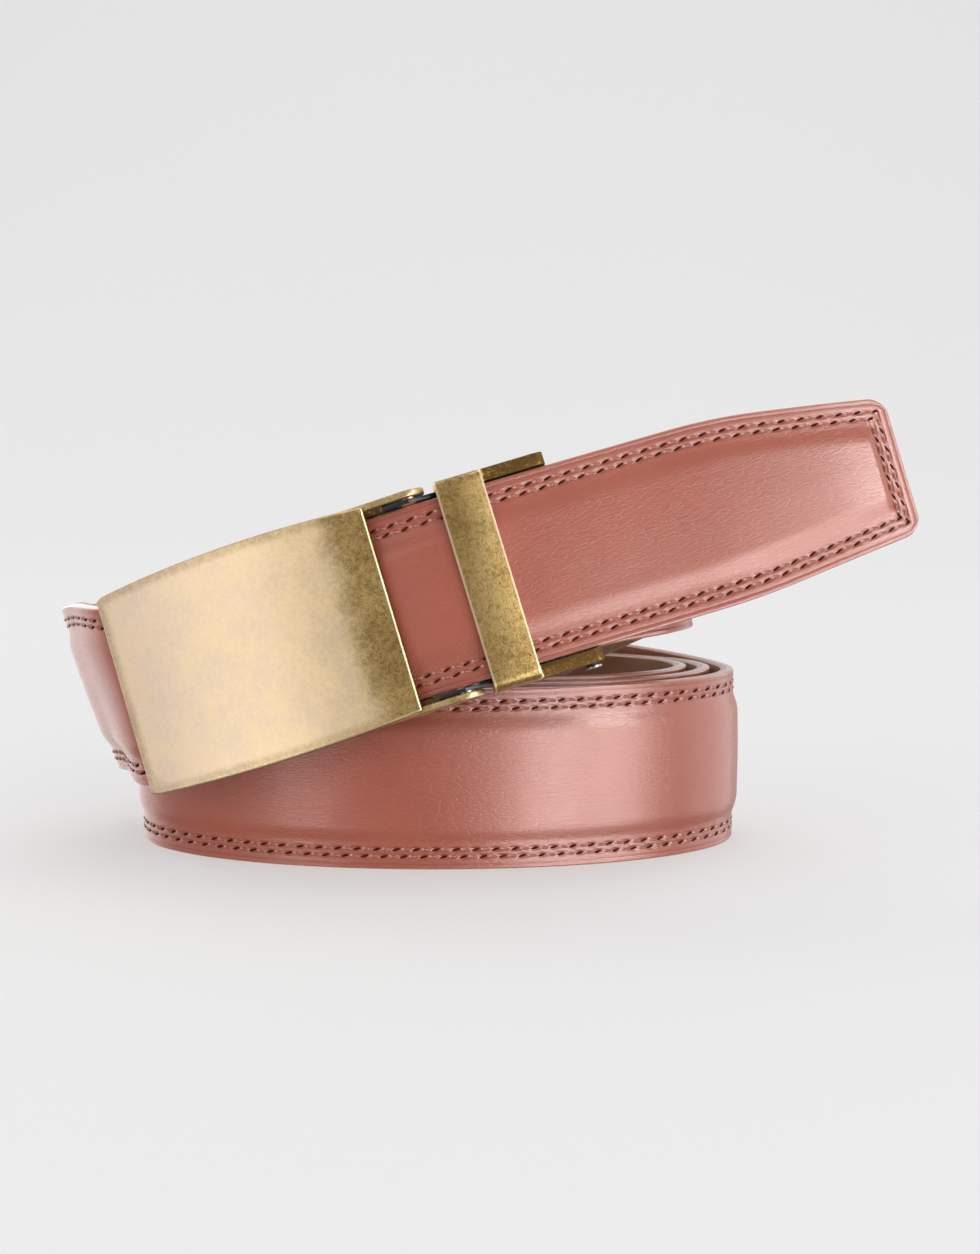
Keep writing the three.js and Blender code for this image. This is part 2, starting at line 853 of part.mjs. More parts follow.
const belt = new THREE.Group();
belt.add(
  named("strap_leather", makeLeather(), leatherFinish),
  named("strap_lining", makeLining(), liningFinish),
  named("ratchet_track", makeTrack(), trackPlastic),
);
belt.add(
  groupIn(
    plateFrame,
    named("face_plate", makePlate(), brass),
    named("ratchet_housing", makeHousing(), darkSteel),
    named("release_lever", makeLever(), brightSteel),
    named("lever_pin", makeLeverPin(), brightSteel),
    named("hinge_pin_upper", makeHingePin(1), brass),
    named("hinge_pin_lower", makeHingePin(-1), brass),
  ),
);
belt.add(
  groupIn(
    clampFrame,
    named("clamp_channel", makeChannel(), darkSteel),
    named("keeper_frame", makeKeeper(), brass),
    named("clamp_jaw", makeJaw(), brightSteel),
    named("jaw_rivet_upper", makeJawRivet(1), brightSteel),
    named("jaw_rivet_lower", makeJawRivet(-1), brightSteel),
  ),
);

// The part's origin is under the middle of its box, on the surface that it stands on.
function standOnOrigin(group) {
  const box = new THREE.Box3().setFromObject(group, true);
  const centre = box.getCenter(new THREE.Vector3());
  group.position.set(-centre.x, -centre.y, -box.min.z);
  const part = new THREE.Group();
  part.add(group);
  return part;
}

export default standOnOrigin(belt);
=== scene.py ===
"""A fastened ratchet belt stood on its edge: a padded leather strap with its seams, lining and toothed
track, a brass buckle plate and keeper, a dark clamp and ratchet housing. Lengths are metres."""
import json
import math

import bpy
import numpy as np
from mathutils import Matrix, Vector


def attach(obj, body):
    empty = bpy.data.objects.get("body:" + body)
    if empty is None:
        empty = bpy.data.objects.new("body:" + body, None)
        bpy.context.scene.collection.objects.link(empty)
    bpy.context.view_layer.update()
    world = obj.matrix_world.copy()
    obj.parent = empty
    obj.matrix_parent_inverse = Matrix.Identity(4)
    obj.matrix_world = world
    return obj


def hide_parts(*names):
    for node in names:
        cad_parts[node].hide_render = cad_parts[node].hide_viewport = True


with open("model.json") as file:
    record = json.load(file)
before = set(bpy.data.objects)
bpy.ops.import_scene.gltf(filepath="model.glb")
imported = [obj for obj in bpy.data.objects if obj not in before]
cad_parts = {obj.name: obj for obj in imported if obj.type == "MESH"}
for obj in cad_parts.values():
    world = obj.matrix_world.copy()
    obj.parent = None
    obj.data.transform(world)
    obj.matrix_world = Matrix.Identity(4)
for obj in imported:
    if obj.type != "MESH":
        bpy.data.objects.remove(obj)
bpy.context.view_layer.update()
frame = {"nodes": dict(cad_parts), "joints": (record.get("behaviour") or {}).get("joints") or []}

MM = 0.001
CLEARANCE = 0.3 * MM

# Strap
STRAP_WIDTH = 35 * MM
LEATHER_THICKNESS = 1.35 * MM
LINING_THICKNESS = 1 * MM
PADDING_RISE = 1.1 * MM
PADDING_MARGIN = 4.7 * MM
SHOULDER_WIDTH = 4.6 * MM
END_MARGIN = 4.3 * MM
END_SHOULDER_WIDTH = 1.5 * MM
SHOULDER_SHARE = 0.85
TIP_TAPER_LENGTH = 34 * MM
TIP_END_WIDTH = 26.5 * MM
TIP_CORNER_RADIUS = 3.6 * MM
TAPER_EASE = 0.25
GLUE_LINE = 0.02 * MM
EDGE_ROUND = 0.35 * MM
CREASE_INSET = 1 * MM
CREASE_DEPTH = 0.07 * MM
CREASE_WIDTH = 0.14 * MM
SEAM_INSETS = (2.5 * MM, 3.9 * MM)
SEAM_DEPTH = 0.07 * MM
SEAM_WIDTH = 0.38 * MM
STATION_STEP = 2.2 * MM

# Seams
STITCH_PITCH = 3.77 * MM
STITCH_LENGTH = 2.6 * MM
STITCH_THICKNESS = 0.7 * MM
STITCH_SLANT = math.radians(9)
STITCH_DIVE = 0.55 * MM
STITCH_SINK = 0.06 * MM
STITCH_SIDES = 8
STITCH_RINGS = 8
HOLE_LENGTH = 1.7 * MM
HOLE_WIDTH = 0.58 * MM
HOLE_HEIGHT = 0.14 * MM

# Coil
COIL_HALF_LENGTH = 61.3 * MM
COIL_HALF_DEPTH = 36.75 * MM
LAYER_PITCH = 4.86 * MM
LAYER_LIFT = 0.3 * MM
LAYERS = 3
COIL_STEPS_PER_TURN = 20
CLIMB_START = 3.02
CLIMB_END = 3.5
CLIMB_SAMPLED = 3.3
CLIMB_HEIGHT = 0.36

# Buckle
PIN = Vector((1, -47, 53.6)) * MM
BUCKLE_SLOPE = math.radians(16.86)
BUCKLE_LEAN = math.radians(9.7)
PLATE_YAW = math.radians(14)
CLAMP_YAW = math.radians(-4.3)
TIP_YAW = math.radians(-6)
PLATE_LENGTH = 55.4 * MM
PLATE_BOW = 1.2 * MM
PLATE_THICKNESS = 1.8 * MM
PLATE_FRONT = 4.8 * MM
PLATE_CORNER = 1.2 * MM
PLATE_RIGHT_CORNER = 0.4 * MM
PLATE_RIM = 0.45 * MM
FACE_INSETS = (0, 0.05 * MM, 0.14 * MM, 0.28 * MM, PLATE_RIM, 1.4 * MM)
PLATE_CURVE_RADIUS = 170 * MM
CHANNEL_WALL = 0.7 * MM
ARM_THICKNESS = 0.8 * MM
ARM_SWELL = 0.5 * MM
ARM_BEVEL = 0.35 * MM
ARM_REACH = 8.2 * MM
ARM_RADIUS = 3.3 * MM
ARM_DEPTH = 2 * MM
ARM_KNEE = 14 * MM
GUSSET_END = 4.4 * MM
ARM_WEAR_PLACE = 7 * MM
FLANGE_ROOT = -54 * MM
HINGE_PIN_RADIUS = 1.6 * MM
SHEET_BEVEL = 0.14 * MM
CAD_MERGE = 0.002 * MM
CAD_FLAT_ANGLE = math.radians(0.4)
CAD_SHARP_ANGLE = math.radians(35)
LEVER_PIN_X = -30 * MM
LEVER_PIN_BACK = 3.5 * MM
CLAMP_LENGTH = 26.3 * MM
CUT_END_START = 5 * MM
CLAMPED_REACH = 3 * MM
CLAMPED_MIDDLE = -6.2 * MM
KEEPER_START = 5.2 * MM
KEEPER_WIDTH = 9 * MM
KEEPER_STOP_INSET = 1 * MM
KEEPER_STOP_REACH = 3.2 * MM
RUB_FROM_RIGHT = 20 * MM
RUB_ACROSS = 8.5 * MM
RUB_RADIUS = 11 * MM
RUB_WIDTH = 0.35 * MM

# Studio
FOCAL_PIXELS = 2071
IMAGE_HEIGHT = 1254
SENSOR = 36
CAMERA_PLACE = Vector((10.8, -428, 84.8)) * MM
CAMERA_PITCH = math.radians(5.54)
LIGHT_AIM = Vector((0, 0, 50)) * MM
STUDIO_STRENGTH = 0.66
CAMERA_SIDE = (0.74, 0.93)
CAMERA_SIDE_DIMMED = 0.54
BELOW = (-0.1, -0.6)
BELOW_DIMMED = 0.6
# Each light's name, azimuth, elevation, distance, width and height, radiance, and where it is seen.
LIGHTS = [
    ("right_card", 28, -15, 1.3, (0.36, 1.2), 8.4, "gloss"),
    ("right_high_card", 48, 20, 1.3, (0.36, 0.44), 17, "gloss"),
    ("right_far_card", 50, -14, 1.3, (0.4, 1.1), 6, "gloss"),
    ("left_card", -36, -20, 1.3, (0.34, 0.5), 3.8, "gloss"),
    ("left_side", -135, 4, 1.2, (1.2, 1.4), 1, "gloss"),
    ("right_side", 110, 4, 1.2, (1.2, 1.4), 1.3, "gloss"),
    ("left_panel", -40, 20, 1.5, (0.9, 0.8), 1, "both"),
    ("key_panel", 24, 18, 1.4, (0.9, 0.9), 2.6, "matte"),
    ("overhead_panel", 180, 68, 1.6, (1.6, 1.2), 1.2, "both"),
]

# Angles, in degrees, up to which a surface is shaded smooth
LEATHER_SMOOTH = 50
METAL_SMOOTH = 40
THREAD_SMOOTH = 80
FLOOR_SMOOTH = 60

HALF_WIDTH = STRAP_WIDTH / 2
LEATHER_BACK = -CLEARANCE / 2
LEATHER_FRONT = LEATHER_BACK + LEATHER_THICKNESS
LINING_FRONT = LEATHER_BACK - CLEARANCE
LINING_BACK = LINING_FRONT - LINING_THICKNESS
ARM_INSIDE = HALF_WIDTH + CLEARANCE + CHANNEL_WALL + CLEARANCE
ARM_OUTSIDE = ARM_INSIDE + ARM_THICKNESS
PIN_HOLE_RADIUS = HINGE_PIN_RADIUS + CLEARANCE / 2
PLATE_MIDDLE = -ARM_REACH - PLATE_LENGTH / 2
ARC_CENTRE = -math.sqrt(PLATE_CURVE_RADIUS**2 - (PLATE_LENGTH / 2) ** 2)


def smoothstep(value, low, high):
    """0 below low, 1 above high and a smooth ramp between them, on numbers and arrays."""
    share = np.clip((value - low) / (high - low), 0, 1)
    return share * share * (3 - 2 * share)


# The route of the strap, as the part's source has it
def buckle_up():
    rise = math.cos(BUCKLE_SLOPE)
    side = -math.sin(BUCKLE_SLOPE)
    return Vector((side, rise * math.sin(BUCKLE_LEAN), rise * math.cos(BUCKLE_LEAN)))


def pin_frame(yaw):
    """A matrix whose X runs along the strap, Y to its back and Z across it, at the hinge pins."""
    up = buckle_up()
    front = (Vector((0, -1, 0)) + up * up.y).normalized()
    right = up.cross(front)
    along = right * math.cos(yaw) + front * math.sin(yaw)
    back = up.cross(along)
    turned = Matrix((along, back, up)).transposed().to_4x4()
    return Matrix.Translation(PIN) @ turned


PLATE_FRAME = pin_frame(PLATE_YAW)
CLAMP_FRAME = pin_frame(CLAMP_YAW)
TIP_FRAME = pin_frame(TIP_YAW)


def arc_out(along, offset=0.0):
    """How far a layer of the plate's curve stands out in front of the pins."""
    radius = PLATE_CURVE_RADIUS + offset
    return ARC_CENTRE + math.sqrt(radius**2 - (along - PLATE_MIDDLE) ** 2)


# Each row is x and y as shares of the coil's half length and half depth, the height as a share of the
# strap's width, and the lean as a share of the buckle's slant.
HIGH_BEND = [(0.69, -0.925, 1.795, 0.8), (0.765, -0.62, 1.81, 0.4)]
LEFT_BEND = [
    (-0.75, 0.83, 0.785, 0.3),
    (-1.045, 0.49, 0.85, 0.8),
    (-1.148, -0.08, 0.89, 1.2),
    (-1.075, -0.47, 0.94, 1.4),
]
# Turns about the coil's centre, layers inwards, and height as above.
DESCENT = [
    (-0.04, 2.65, 1.8),
    (0.02, 2.7, 1.76),
    (0.08, 2.68, 1.66),
    (0.14, 2.8, 1.49),
    (0.2, 2.64, 1.26),
    (0.27, 2.45, 0.97),
    (0.35, 2.25, 0.71),
    (0.43, 2.08, 0.555),
]
CLAMP_STOPS = [CUT_END_START, CLAMP_LENGTH / 2, CLAMP_LENGTH + CLAMPED_REACH]
PLATE_STOPS = [-1, -0.75, -0.5, -0.25, -0.06]
KEEPER_STOPS = [KEEPER_START + KEEPER_STOP_INSET, KEEPER_START + KEEPER_WIDTH + KEEPER_STOP_REACH]
# The free end, in shares of the strap's width: along, to the back, and down.
FREE_END = [(1.2, 0, 0), (1.7, 0.01, 0.003), (2.2, 0.055, 0.012), (2.63, 0.13, 0.022)]


def coil_point(turn, inset, height):
    angle = turn * 2 * math.pi
    inwards = inset * LAYER_PITCH + LEATHER_FRONT
    x = (COIL_HALF_LENGTH - inwards) * math.cos(angle)
    y = (COIL_HALF_DEPTH - inwards) * math.sin(angle)
    return Vector((x, y, height * STRAP_WIDTH))


def free_row(x, y, height, lean):
    point = Vector((x * COIL_HALF_LENGTH, y * COIL_HALF_DEPTH, height * STRAP_WIDTH))
    return point, Vector((0, 0, 1)).lerp(buckle_up(), lean).normalized()


def inset_at(turn):
    """Each layer keeps its distance along the front and steps outwards along the back."""
    whole = math.floor(turn)
    eased = smoothstep(min((turn - whole) * 2, 1), 0, 1)
    return LAYERS - whole - eased


def coil_rows():
    upright = Vector((0, 0, 1))
    rows = []
    for step in range(COIL_STEPS_PER_TURN // 2, round(CLIMB_SAMPLED * COIL_STEPS_PER_TURN) + 1):
        turn = step / COIL_STEPS_PER_TURN
        inset = inset_at(turn)
        lift = max(inset, 0) * LAYER_LIFT / STRAP_WIDTH
        climb = CLIMB_HEIGHT * smoothstep(turn, CLIMB_START, CLIMB_END)
        rows.append((coil_point(turn, inset, 0.5 + lift + climb), upright))
    return rows


def buckle_rows():
    up = buckle_up()
    rows = []
    for share in PLATE_STOPS:
        along = share * PLATE_LENGTH - ARM_REACH
        rows.append((PLATE_FRAME @ Vector((along, -arc_out(along), 0)), up))
    for stop in KEEPER_STOPS:
        rows.append((CLAMP_FRAME @ Vector((stop, 0, 0)), up))
    for along, back, down in FREE_END:
        rows.append((TIP_FRAME @ (Vector((along, back, -down)) * STRAP_WIDTH), up))
    return rows


def route_rows():
    upright = Vector((0, 0, 1))
    clamped = [(CLAMP_FRAME @ Vector((x, -CLAMPED_MIDDLE, 0)), buckle_up()) for x in CLAMP_STOPS]
    falling = [(coil_point(*row), upright) for row in DESCENT]
    return [
        *clamped,
        *(free_row(*row) for row in HIGH_BEND),
        *falling,
        *coil_rows(),
        *(free_row(*row) for row in LEFT_BEND),
        *buckle_rows(),
    ]


def spline(points, even):
    """Dense places and directions on a Catmull-Rom curve, with even or centripetal knots."""
    steps = 48
    ends = [2 * points[0] - points[1]], [2 * points[-1] - points[-2]]
    full = np.concatenate([ends[0], points, ends[1]])
    gaps = np.linalg.norm(np.diff(full, axis=0), axis=1) ** 0.5
    knots = np.ones(len(gaps)) if even else gaps
    k0, k1, k2 = (knots[i : i + len(points) - 1, None] for i in range(3))
    p0, p1, p2, p3 = (full[i : i + len(points) - 1] for i in range(4))
    leave = ((p1 - p0) / k0 - (p2 - p0) / (k0 + k1) + (p2 - p1) / k1) * k1
    arrive = ((p2 - p1) / k1 - (p3 - p1) / (k1 + k2) + (p3 - p2) / k2) * k1
    share = np.linspace(0, 1, steps, endpoint=False)[None, :, None]
    square = -3 * p1 + 3 * p2 - 2 * leave - arrive
    cube = 2 * p1 - 2 * p2 + leave + arrive
    places = p1[:, None] + leave[:, None] * share + square[:, None] * share**2 + cube[:, None] * share**3
    ways = leave[:, None] + 2 * square[:, None] * share + 3 * cube[:, None] * share**2
    places = np.concatenate([places.reshape(-1, 3), points[-1:]])
    ways = np.concatenate([ways.reshape(-1, 3), arrive[-1:]])
    return places, ways


def unit(vectors):
    return vectors / np.linalg.norm(vectors, axis=-1, keepdims=True)


class Route:
    """The strap's middle line: places on the strap, laid flat, go to where the worn shape has them."""

    def __init__(self, rows):
        places, ways = spline(np.array([row[0] for row in rows]), even=False)
        ups, _ = spline(np.array([row[1] for row in rows]), even=True)
        self.along = unit(ways)
        self.places = places + self.offset()
        self.ups = ups
        steps = np.linalg.norm(np.diff(places, axis=0), axis=1)
        self.distances = np.concatenate([[0], np.cumsum(steps)])
        self.length = self.distances[-1]

    @staticmethod
    def offset():
        """From the coil's own frame to the part's, by the lever's pin, which both know."""
        here = PLATE_FRAME @ Vector((LEVER_PIN_X, LEVER_PIN_BACK, 0))
        return np.array(Vector(frame["joints"][0]["pos_m"]) - here)

    def between(self, values, distance):
        return np.stack([np.interp(distance, self.distances, values[:, i]) for i in range(3)], axis=-1)

    def wrap(self, flat):
        """Flat places, [distance, across, out], become places in the part's frame."""
        distance = flat[:, 0]
        along = unit(self.between(self.along, distance))
        up = self.between(self.ups, distance)
        up = unit(up - along * np.sum(up * along, axis=-1, keepdims=True))
        out = np.cross(along, up)
        return self.between(self.places, distance) + up * flat[:, 1:2] + out * flat[:, 2:3]


route = Route(route_rows())
OFFSET = Matrix.Translation(Vector(Route.offset()))


# Mesh helpers
def finished(piece, kind, **settings):
    """The piece with one modifier applied."""
    only(piece)
    change = piece.modifiers.new(kind.lower(), kind)
    for name, value in settings.items():
        setattr(change, name, value)
    bpy.ops.object.modifier_apply(modifier=change.name)


def outwards(piece):
    only(piece)
    bpy.ops.object.mode_set(mode="EDIT")
    bpy.ops.mesh.select_all(action="SELECT")
    bpy.ops.mesh.normals_make_consistent(inside=False)
    bpy.ops.object.mode_set(mode="OBJECT")


def deselect():
    for item in bpy.context.selected_objects:
        item.select_set(False)


def take(name):
    """The new primitive, named, alone selected."""
    piece = bpy.context.object
    piece.name = name
    piece.data.name = name
    return piece


def only(piece):
    deselect()
    piece.select_set(True)
    bpy.context.view_layer.objects.active = piece


def coordinates(piece):
    flat = np.empty(len(piece.data.vertices) * 3)
    piece.data.vertices.foreach_get("co", flat)
    return flat.reshape(-1, 3)


def set_coordinates(piece, places):
    piece.data.vertices.foreach_set("co", np.asarray(places, float).ravel())
    piece.data.update()


def set_map(piece, name, values):
    """A UV map from one pair of numbers for each vertex."""
    layer = piece.data.uv_layers.get(name) or piece.data.uv_layers.new(name=name)
    corners = np.empty(len(piece.data.loops), int)
    piece.data.loops.foreach_get("vertex_index", corners)
    layer.data.foreach_set("uv", np.asarray(values, float)[corners].ravel())


def extruded(piece, move):
    """The flat piece made thick, with its faces turned outwards."""
    only(piece)
    bpy.ops.object.mode_set(mode="EDIT")
    bpy.ops.mesh.select_all(action="SELECT")
    bpy.ops.mesh.extrude_region_move(TRANSFORM_OT_translate={"value": move})
    bpy.ops.mesh.select_all(action="SELECT")
    bpy.ops.mesh.normals_make_consistent(inside=False)
    bpy.ops.object.mode_set(mode="OBJECT")
    return piece


def smooth(piece, degrees=METAL_SMOOTH):
    only(piece)
    bpy.ops.object.shade_smooth_by_angle(angle=math.radians(degrees))
    return piece


# The strap, cut flat and then wrapped along its route
def straight_half_at(distance):
    """Half the strap's width without rounded corners; the taper to the free end starts gently."""
    share = (route.length - distance) / TIP_TAPER_LENGTH
    eased = 1 - (1 + TAPER_EASE - share) ** 2 / (4 * TAPER_EASE)
    share = np.where(np.abs(share - 1) < TAPER_EASE, eased, np.minimum(share, 1))
    return TIP_END_WIDTH / 2 * (1 - share) + HALF_WIDTH * share


def half_width_at(distance):
    """Half the strap's width with the rounded corners of its free end."""
    short = np.clip(TIP_CORNER_RADIUS - (route.length - distance), 0, TIP_CORNER_RADIUS)
    return straight_half_at(distance) - TIP_CORNER_RADIUS + np.sqrt(TIP_CORNER_RADIUS**2 - short**2)


def rounded_rim(edge, radius):
    """How far a rounded rim falls back at a distance from its edge."""
    short = np.clip(radius - edge, 0, radius)
    return radius - np.sqrt(radius**2 - short**2)


def dip(edge, place, width):
    return np.exp(-(((edge - place) / width) ** 2))


def shoulder(inset, margin, width):
    """The padding's rise inside the seams: steep beside them, with a long soft shoulder."""
    share = np.clip((inset - margin) / width, 0, 1)
    return 1 - (1 - share) ** 3 * (1 + 3 * share)


def front_height(edge, side, distance):
    """The front's height over its flat edge: rounded rim, crease, seam channels and padded middle."""
    height = -rounded_rim(edge, EDGE_ROUND)
    height -= CREASE_DEPTH * dip(edge, CREASE_INSET, CREASE_WIDTH)
    for inset in SEAM_INSETS:
        height -= SEAM_DEPTH * dip(edge, inset, SEAM_WIDTH)
    ends = np.minimum(route.length - distance, distance - CLAMP_LENGTH + CUT_END_START)
    crown = SHOULDER_SHARE + (1 - SHOULDER_SHARE) * smoothstep(side, PADDING_MARGIN, HALF_WIDTH)
    along_edges = shoulder(side, PADDING_MARGIN, SHOULDER_WIDTH)
    at_ends = shoulder(ends, END_MARGIN, END_SHOULDER_WIDTH)
    return height + PADDING_RISE * crown * along_edges * at_ends


def edge_columns():
    """Insets from the strap's edge that catch its rim, crease, channels and shoulder."""
    columns = [0, 0.08 * MM, 0.2 * MM, EDGE_ROUND]
    for middle, width in ((CREASE_INSET, CREASE_WIDTH), *((inset, SEAM_WIDTH) for inset in SEAM_INSETS)):
        columns += [middle + share * width for share in (-1.5, -0.6, 0, 0.6, 1.5)]
    first = columns[-1]
    steps = 8
    last = PADDING_MARGIN + SHOULDER_WIDTH + 0.5 * MM
    columns += [first + (last - first) * (step + 1) / steps for step in range(steps)]
    return columns


def flat_strap(name, columns, inner_steps):
    """A grid whose columns keep their inset from the strap's edge, along its whole length."""
    last = columns[-1]
    stations = list(np.arange(0, route.length - last - STATION_STEP, STATION_STEP))
    stations += [route.length - inset for inset in reversed(columns)]
    inner = [last + (HALF_WIDTH - last) * (step + 1) / inner_steps for step in range(inner_steps)]
    insets = [*columns, *inner]
    across = np.array([*insets, *reversed(insets[:-1])])
    count = len(across)
    bpy.ops.mesh.primitive_grid_add(x_subdivisions=len(stations) - 1, y_subdivisions=count - 1, size=2)
    piece = take(name)
    grid = coordinates(piece)
    column = np.rint((grid[:, 1] + 1) / 2 * (count - 1)).astype(int)
    station = np.rint((grid[:, 0] + 1) / 2 * (len(stations) - 1)).astype(int)
    distance = np.array(stations)[station]
    inset = across[column]
    half = half_width_at(distance)
    share = (HALF_WIDTH - inset) / (HALF_WIDTH - last)
    reach = np.where(inset <= last, half - inset, (half - last) * share)
    side = np.where(column < count // 2, -1, 1)
    set_coordinates(piece, np.stack([distance, side * reach, np.zeros(len(grid))], axis=1))
    return piece


def wrapped(piece, outs, inset=0.0):
    """The piece's flat places keep two maps, and then go to their place on the route."""
    flat = coordinates(piece)
    distance, across = flat[:, 0], flat[:, 1]
    half = half_width_at(distance)
    side = half - np.abs(across)
    edge = np.minimum(side, route.length - distance)
    at_end = route.length - distance < side
    seam = np.where(at_end, across, route.length - distance)
    set_map(piece, "strap", np.stack([distance, across], axis=1))
    set_map(piece, "seam", np.stack([seam, edge], axis=1))
    across = across * (1 - inset / HALF_WIDTH)
    distance = np.minimum(distance, route.length - inset)
    set_coordinates(piece, route.wrap(np.stack([distance, across, outs(flat, side, edge)], axis=1)))
    return piece


def make_leather():
    piece = flat_strap("padded_leather", edge_columns(), inner_steps=4)
    extruded(piece, (0, 0, -LEATHER_THICKNESS))
    back = LEATHER_BACK - CLEARANCE / 2 + GLUE_LINE

    def outs(flat, side, edge):
        front = LEATHER_FRONT + front_height(edge, side, flat[:, 0])
        return np.where(flat[:, 2] > -LEATHER_THICKNESS / 2, front, back)

    return smooth(wrapped(piece, outs), LEATHER_SMOOTH)


def make_lining():
    columns = [0, 0.1 * MM, 0.3 * MM, 2 * MM]
    piece = flat_strap("lining_leather", columns, inner_steps=3)
    extruded(piece, (0, 0, -LINING_THICKNESS))
    front = LINING_FRONT + CLEARANCE / 2 - GLUE_LINE

    def outs(flat, _side, edge):
        back = LINING_BACK + rounded_rim(edge, EDGE_ROUND)
        return np.where(flat[:, 2] > -LINING_THICKNESS / 2, front, back)

    return smooth(wrapped(piece, outs, inset=GLUE_LINE), LEATHER_SMOOTH)


def seam_row(shape, count, place):
    """The shape repeated along a row, then laid where place says."""
    row = shape.copy()
    row.data = shape.data.copy()
    bpy.context.scene.collection.objects.link(row)
    step = (STITCH_PITCH, 0, 0)
    offset = {"use_relative_offset": False, "use_constant_offset": True, "constant_offset_displace": step}
    finished(row, "ARRAY", count=count, **offset)
    set_coordinates(row, place(coordinates(row)))
    return row


def seam_rows(name, shape):
    """Two rows of the shape along each edge, which turn square corners round the free end."""
    rows = []
    for inset in SEAM_INSETS:
        end = route.length - inset
        count = int((end - CLAMP_LENGTH) // STITCH_PITCH)
        reach = TIP_END_WIDTH / 2 - inset
        end_count = round(2 * reach / STITCH_PITCH)
        squeeze = 2 * reach / end_count / STITCH_PITCH

        def on_edge(local, side, inset=inset, end=end):
            distance = end - local[:, 0]
            across = side * (straight_half_at(distance) - inset) + local[:, 1]
            out = LEATHER_FRONT - SEAM_DEPTH + local[:, 2]
            return route.wrap(np.column_stack([distance, across, out]))

        def on_end(local, inset=inset, end=end, reach=reach, squeeze=squeeze):
            across = local[:, 0] * squeeze - reach
            distance = end + local[:, 1]
            out = LEATHER_FRONT - SEAM_DEPTH + local[:, 2]
            return route.wrap(np.column_stack([distance, across, out]))

        rows.append(seam_row(shape, count, lambda local: on_edge(local, 1)))
        rows.append(seam_row(shape, count, lambda local: on_edge(local, -1)))
        rows.append(seam_row(shape, end_count, on_end))
    bpy.data.objects.remove(shape)
    deselect()
    for row in rows:
        row.select_set(True)
    bpy.context.view_layer.objects.active = rows[0]
    bpy.ops.object.join()
    outwards(rows[0])
    rows[0].name = name
    rows[0].data.name = name
    return smooth(rows[0], THREAD_SMOOTH)


def make_stitches():
    """One stitch is a thick slanted thread whose ends dive into their holes."""
    bpy.ops.mesh.primitive_uv_sphere_add(segments=STITCH_SIDES, ring_count=STITCH_RINGS, radius=1)
    stitch = take("stitch")
    along, across, out = coordinates(stitch)[:, [2, 0, 1]].T
    set_map(stitch, "thread", np.column_stack([along * STITCH_LENGTH / 2, across * STITCH_THICKNESS / 2]))
    x = along * STITCH_LENGTH / 2
    y = across * STITCH_THICKNESS / 2
    z = out * STITCH_THICKNESS / 2 - STITCH_SINK - STITCH_DIVE * along**4
    turn, slip = math.cos(STITCH_SLANT), math.sin(STITCH_SLANT)
    places = [x * turn - y * slip + STITCH_PITCH / 2, x * slip + y * turn, z]
    set_coordinates(stitch, np.column_stack(places))
    return seam_rows("seam_stitches", stitch)


def make_hole_shade():
    """Dark lenses of painted shade in the mouths of the needle's holes, one between each stitch and the
    next.
    """
    bpy.ops.mesh.primitive_uv_sphere_add(segments=STITCH_SIDES, ring_count=4, radius=1)
    mouth = take("mouth")
    along, across, out = coordinates(mouth)[:, [2, 0, 1]].T
    size = np.array([HOLE_LENGTH, HOLE_WIDTH, HOLE_HEIGHT]) / 2
    x, y = along * size[0], across * size[1]
    turn, slip = math.cos(STITCH_SLANT * 2), math.sin(STITCH_SLANT * 2)
    set_coordinates(mouth, np.column_stack([x * turn + y * slip, y * turn - x * slip, out * size[2]]))
    return seam_rows("seam_hole_shade", mouth)


# Metalwork
def moved(places, matrix):
    turned = np.array(matrix)
    return places @ turned[:3, :3].T + turned[:3, 3]


def in_frame(local, matrix):
    """Places in one of the buckle's frames, [along, back, across], in the part's frame."""
    return moved(local, OFFSET @ matrix)


def map_bar(piece):
    """The places along and across the clamp, for a finish that changes beside the keeper's bar."""
    local = moved(coordinates(piece), (OFFSET @ CLAMP_FRAME).inverted())
    set_map(piece, "bar", local[:, [0, 2]])


def plate_half_at(from_left):
    """Half the plate's height: bowed long edges, round corners at the left and crisp ones at the right."""
    share = 1 - from_left / (PLATE_LENGTH / 2)
    bowed = ARM_OUTSIDE + PLATE_BOW * (1 - share**2)
    bowed -= rounded_rim(from_left, PLATE_CORNER)
    return bowed - rounded_rim(PLATE_LENGTH - from_left, PLATE_RIGHT_CORNER)


def face_edge(from_left, across):
    """How far a place on the plate's face is from its nearest edge."""
    from_end = np.minimum(from_left, PLATE_LENGTH - from_left)
    return np.minimum(plate_half_at(from_left) - np.abs(across), from_end)


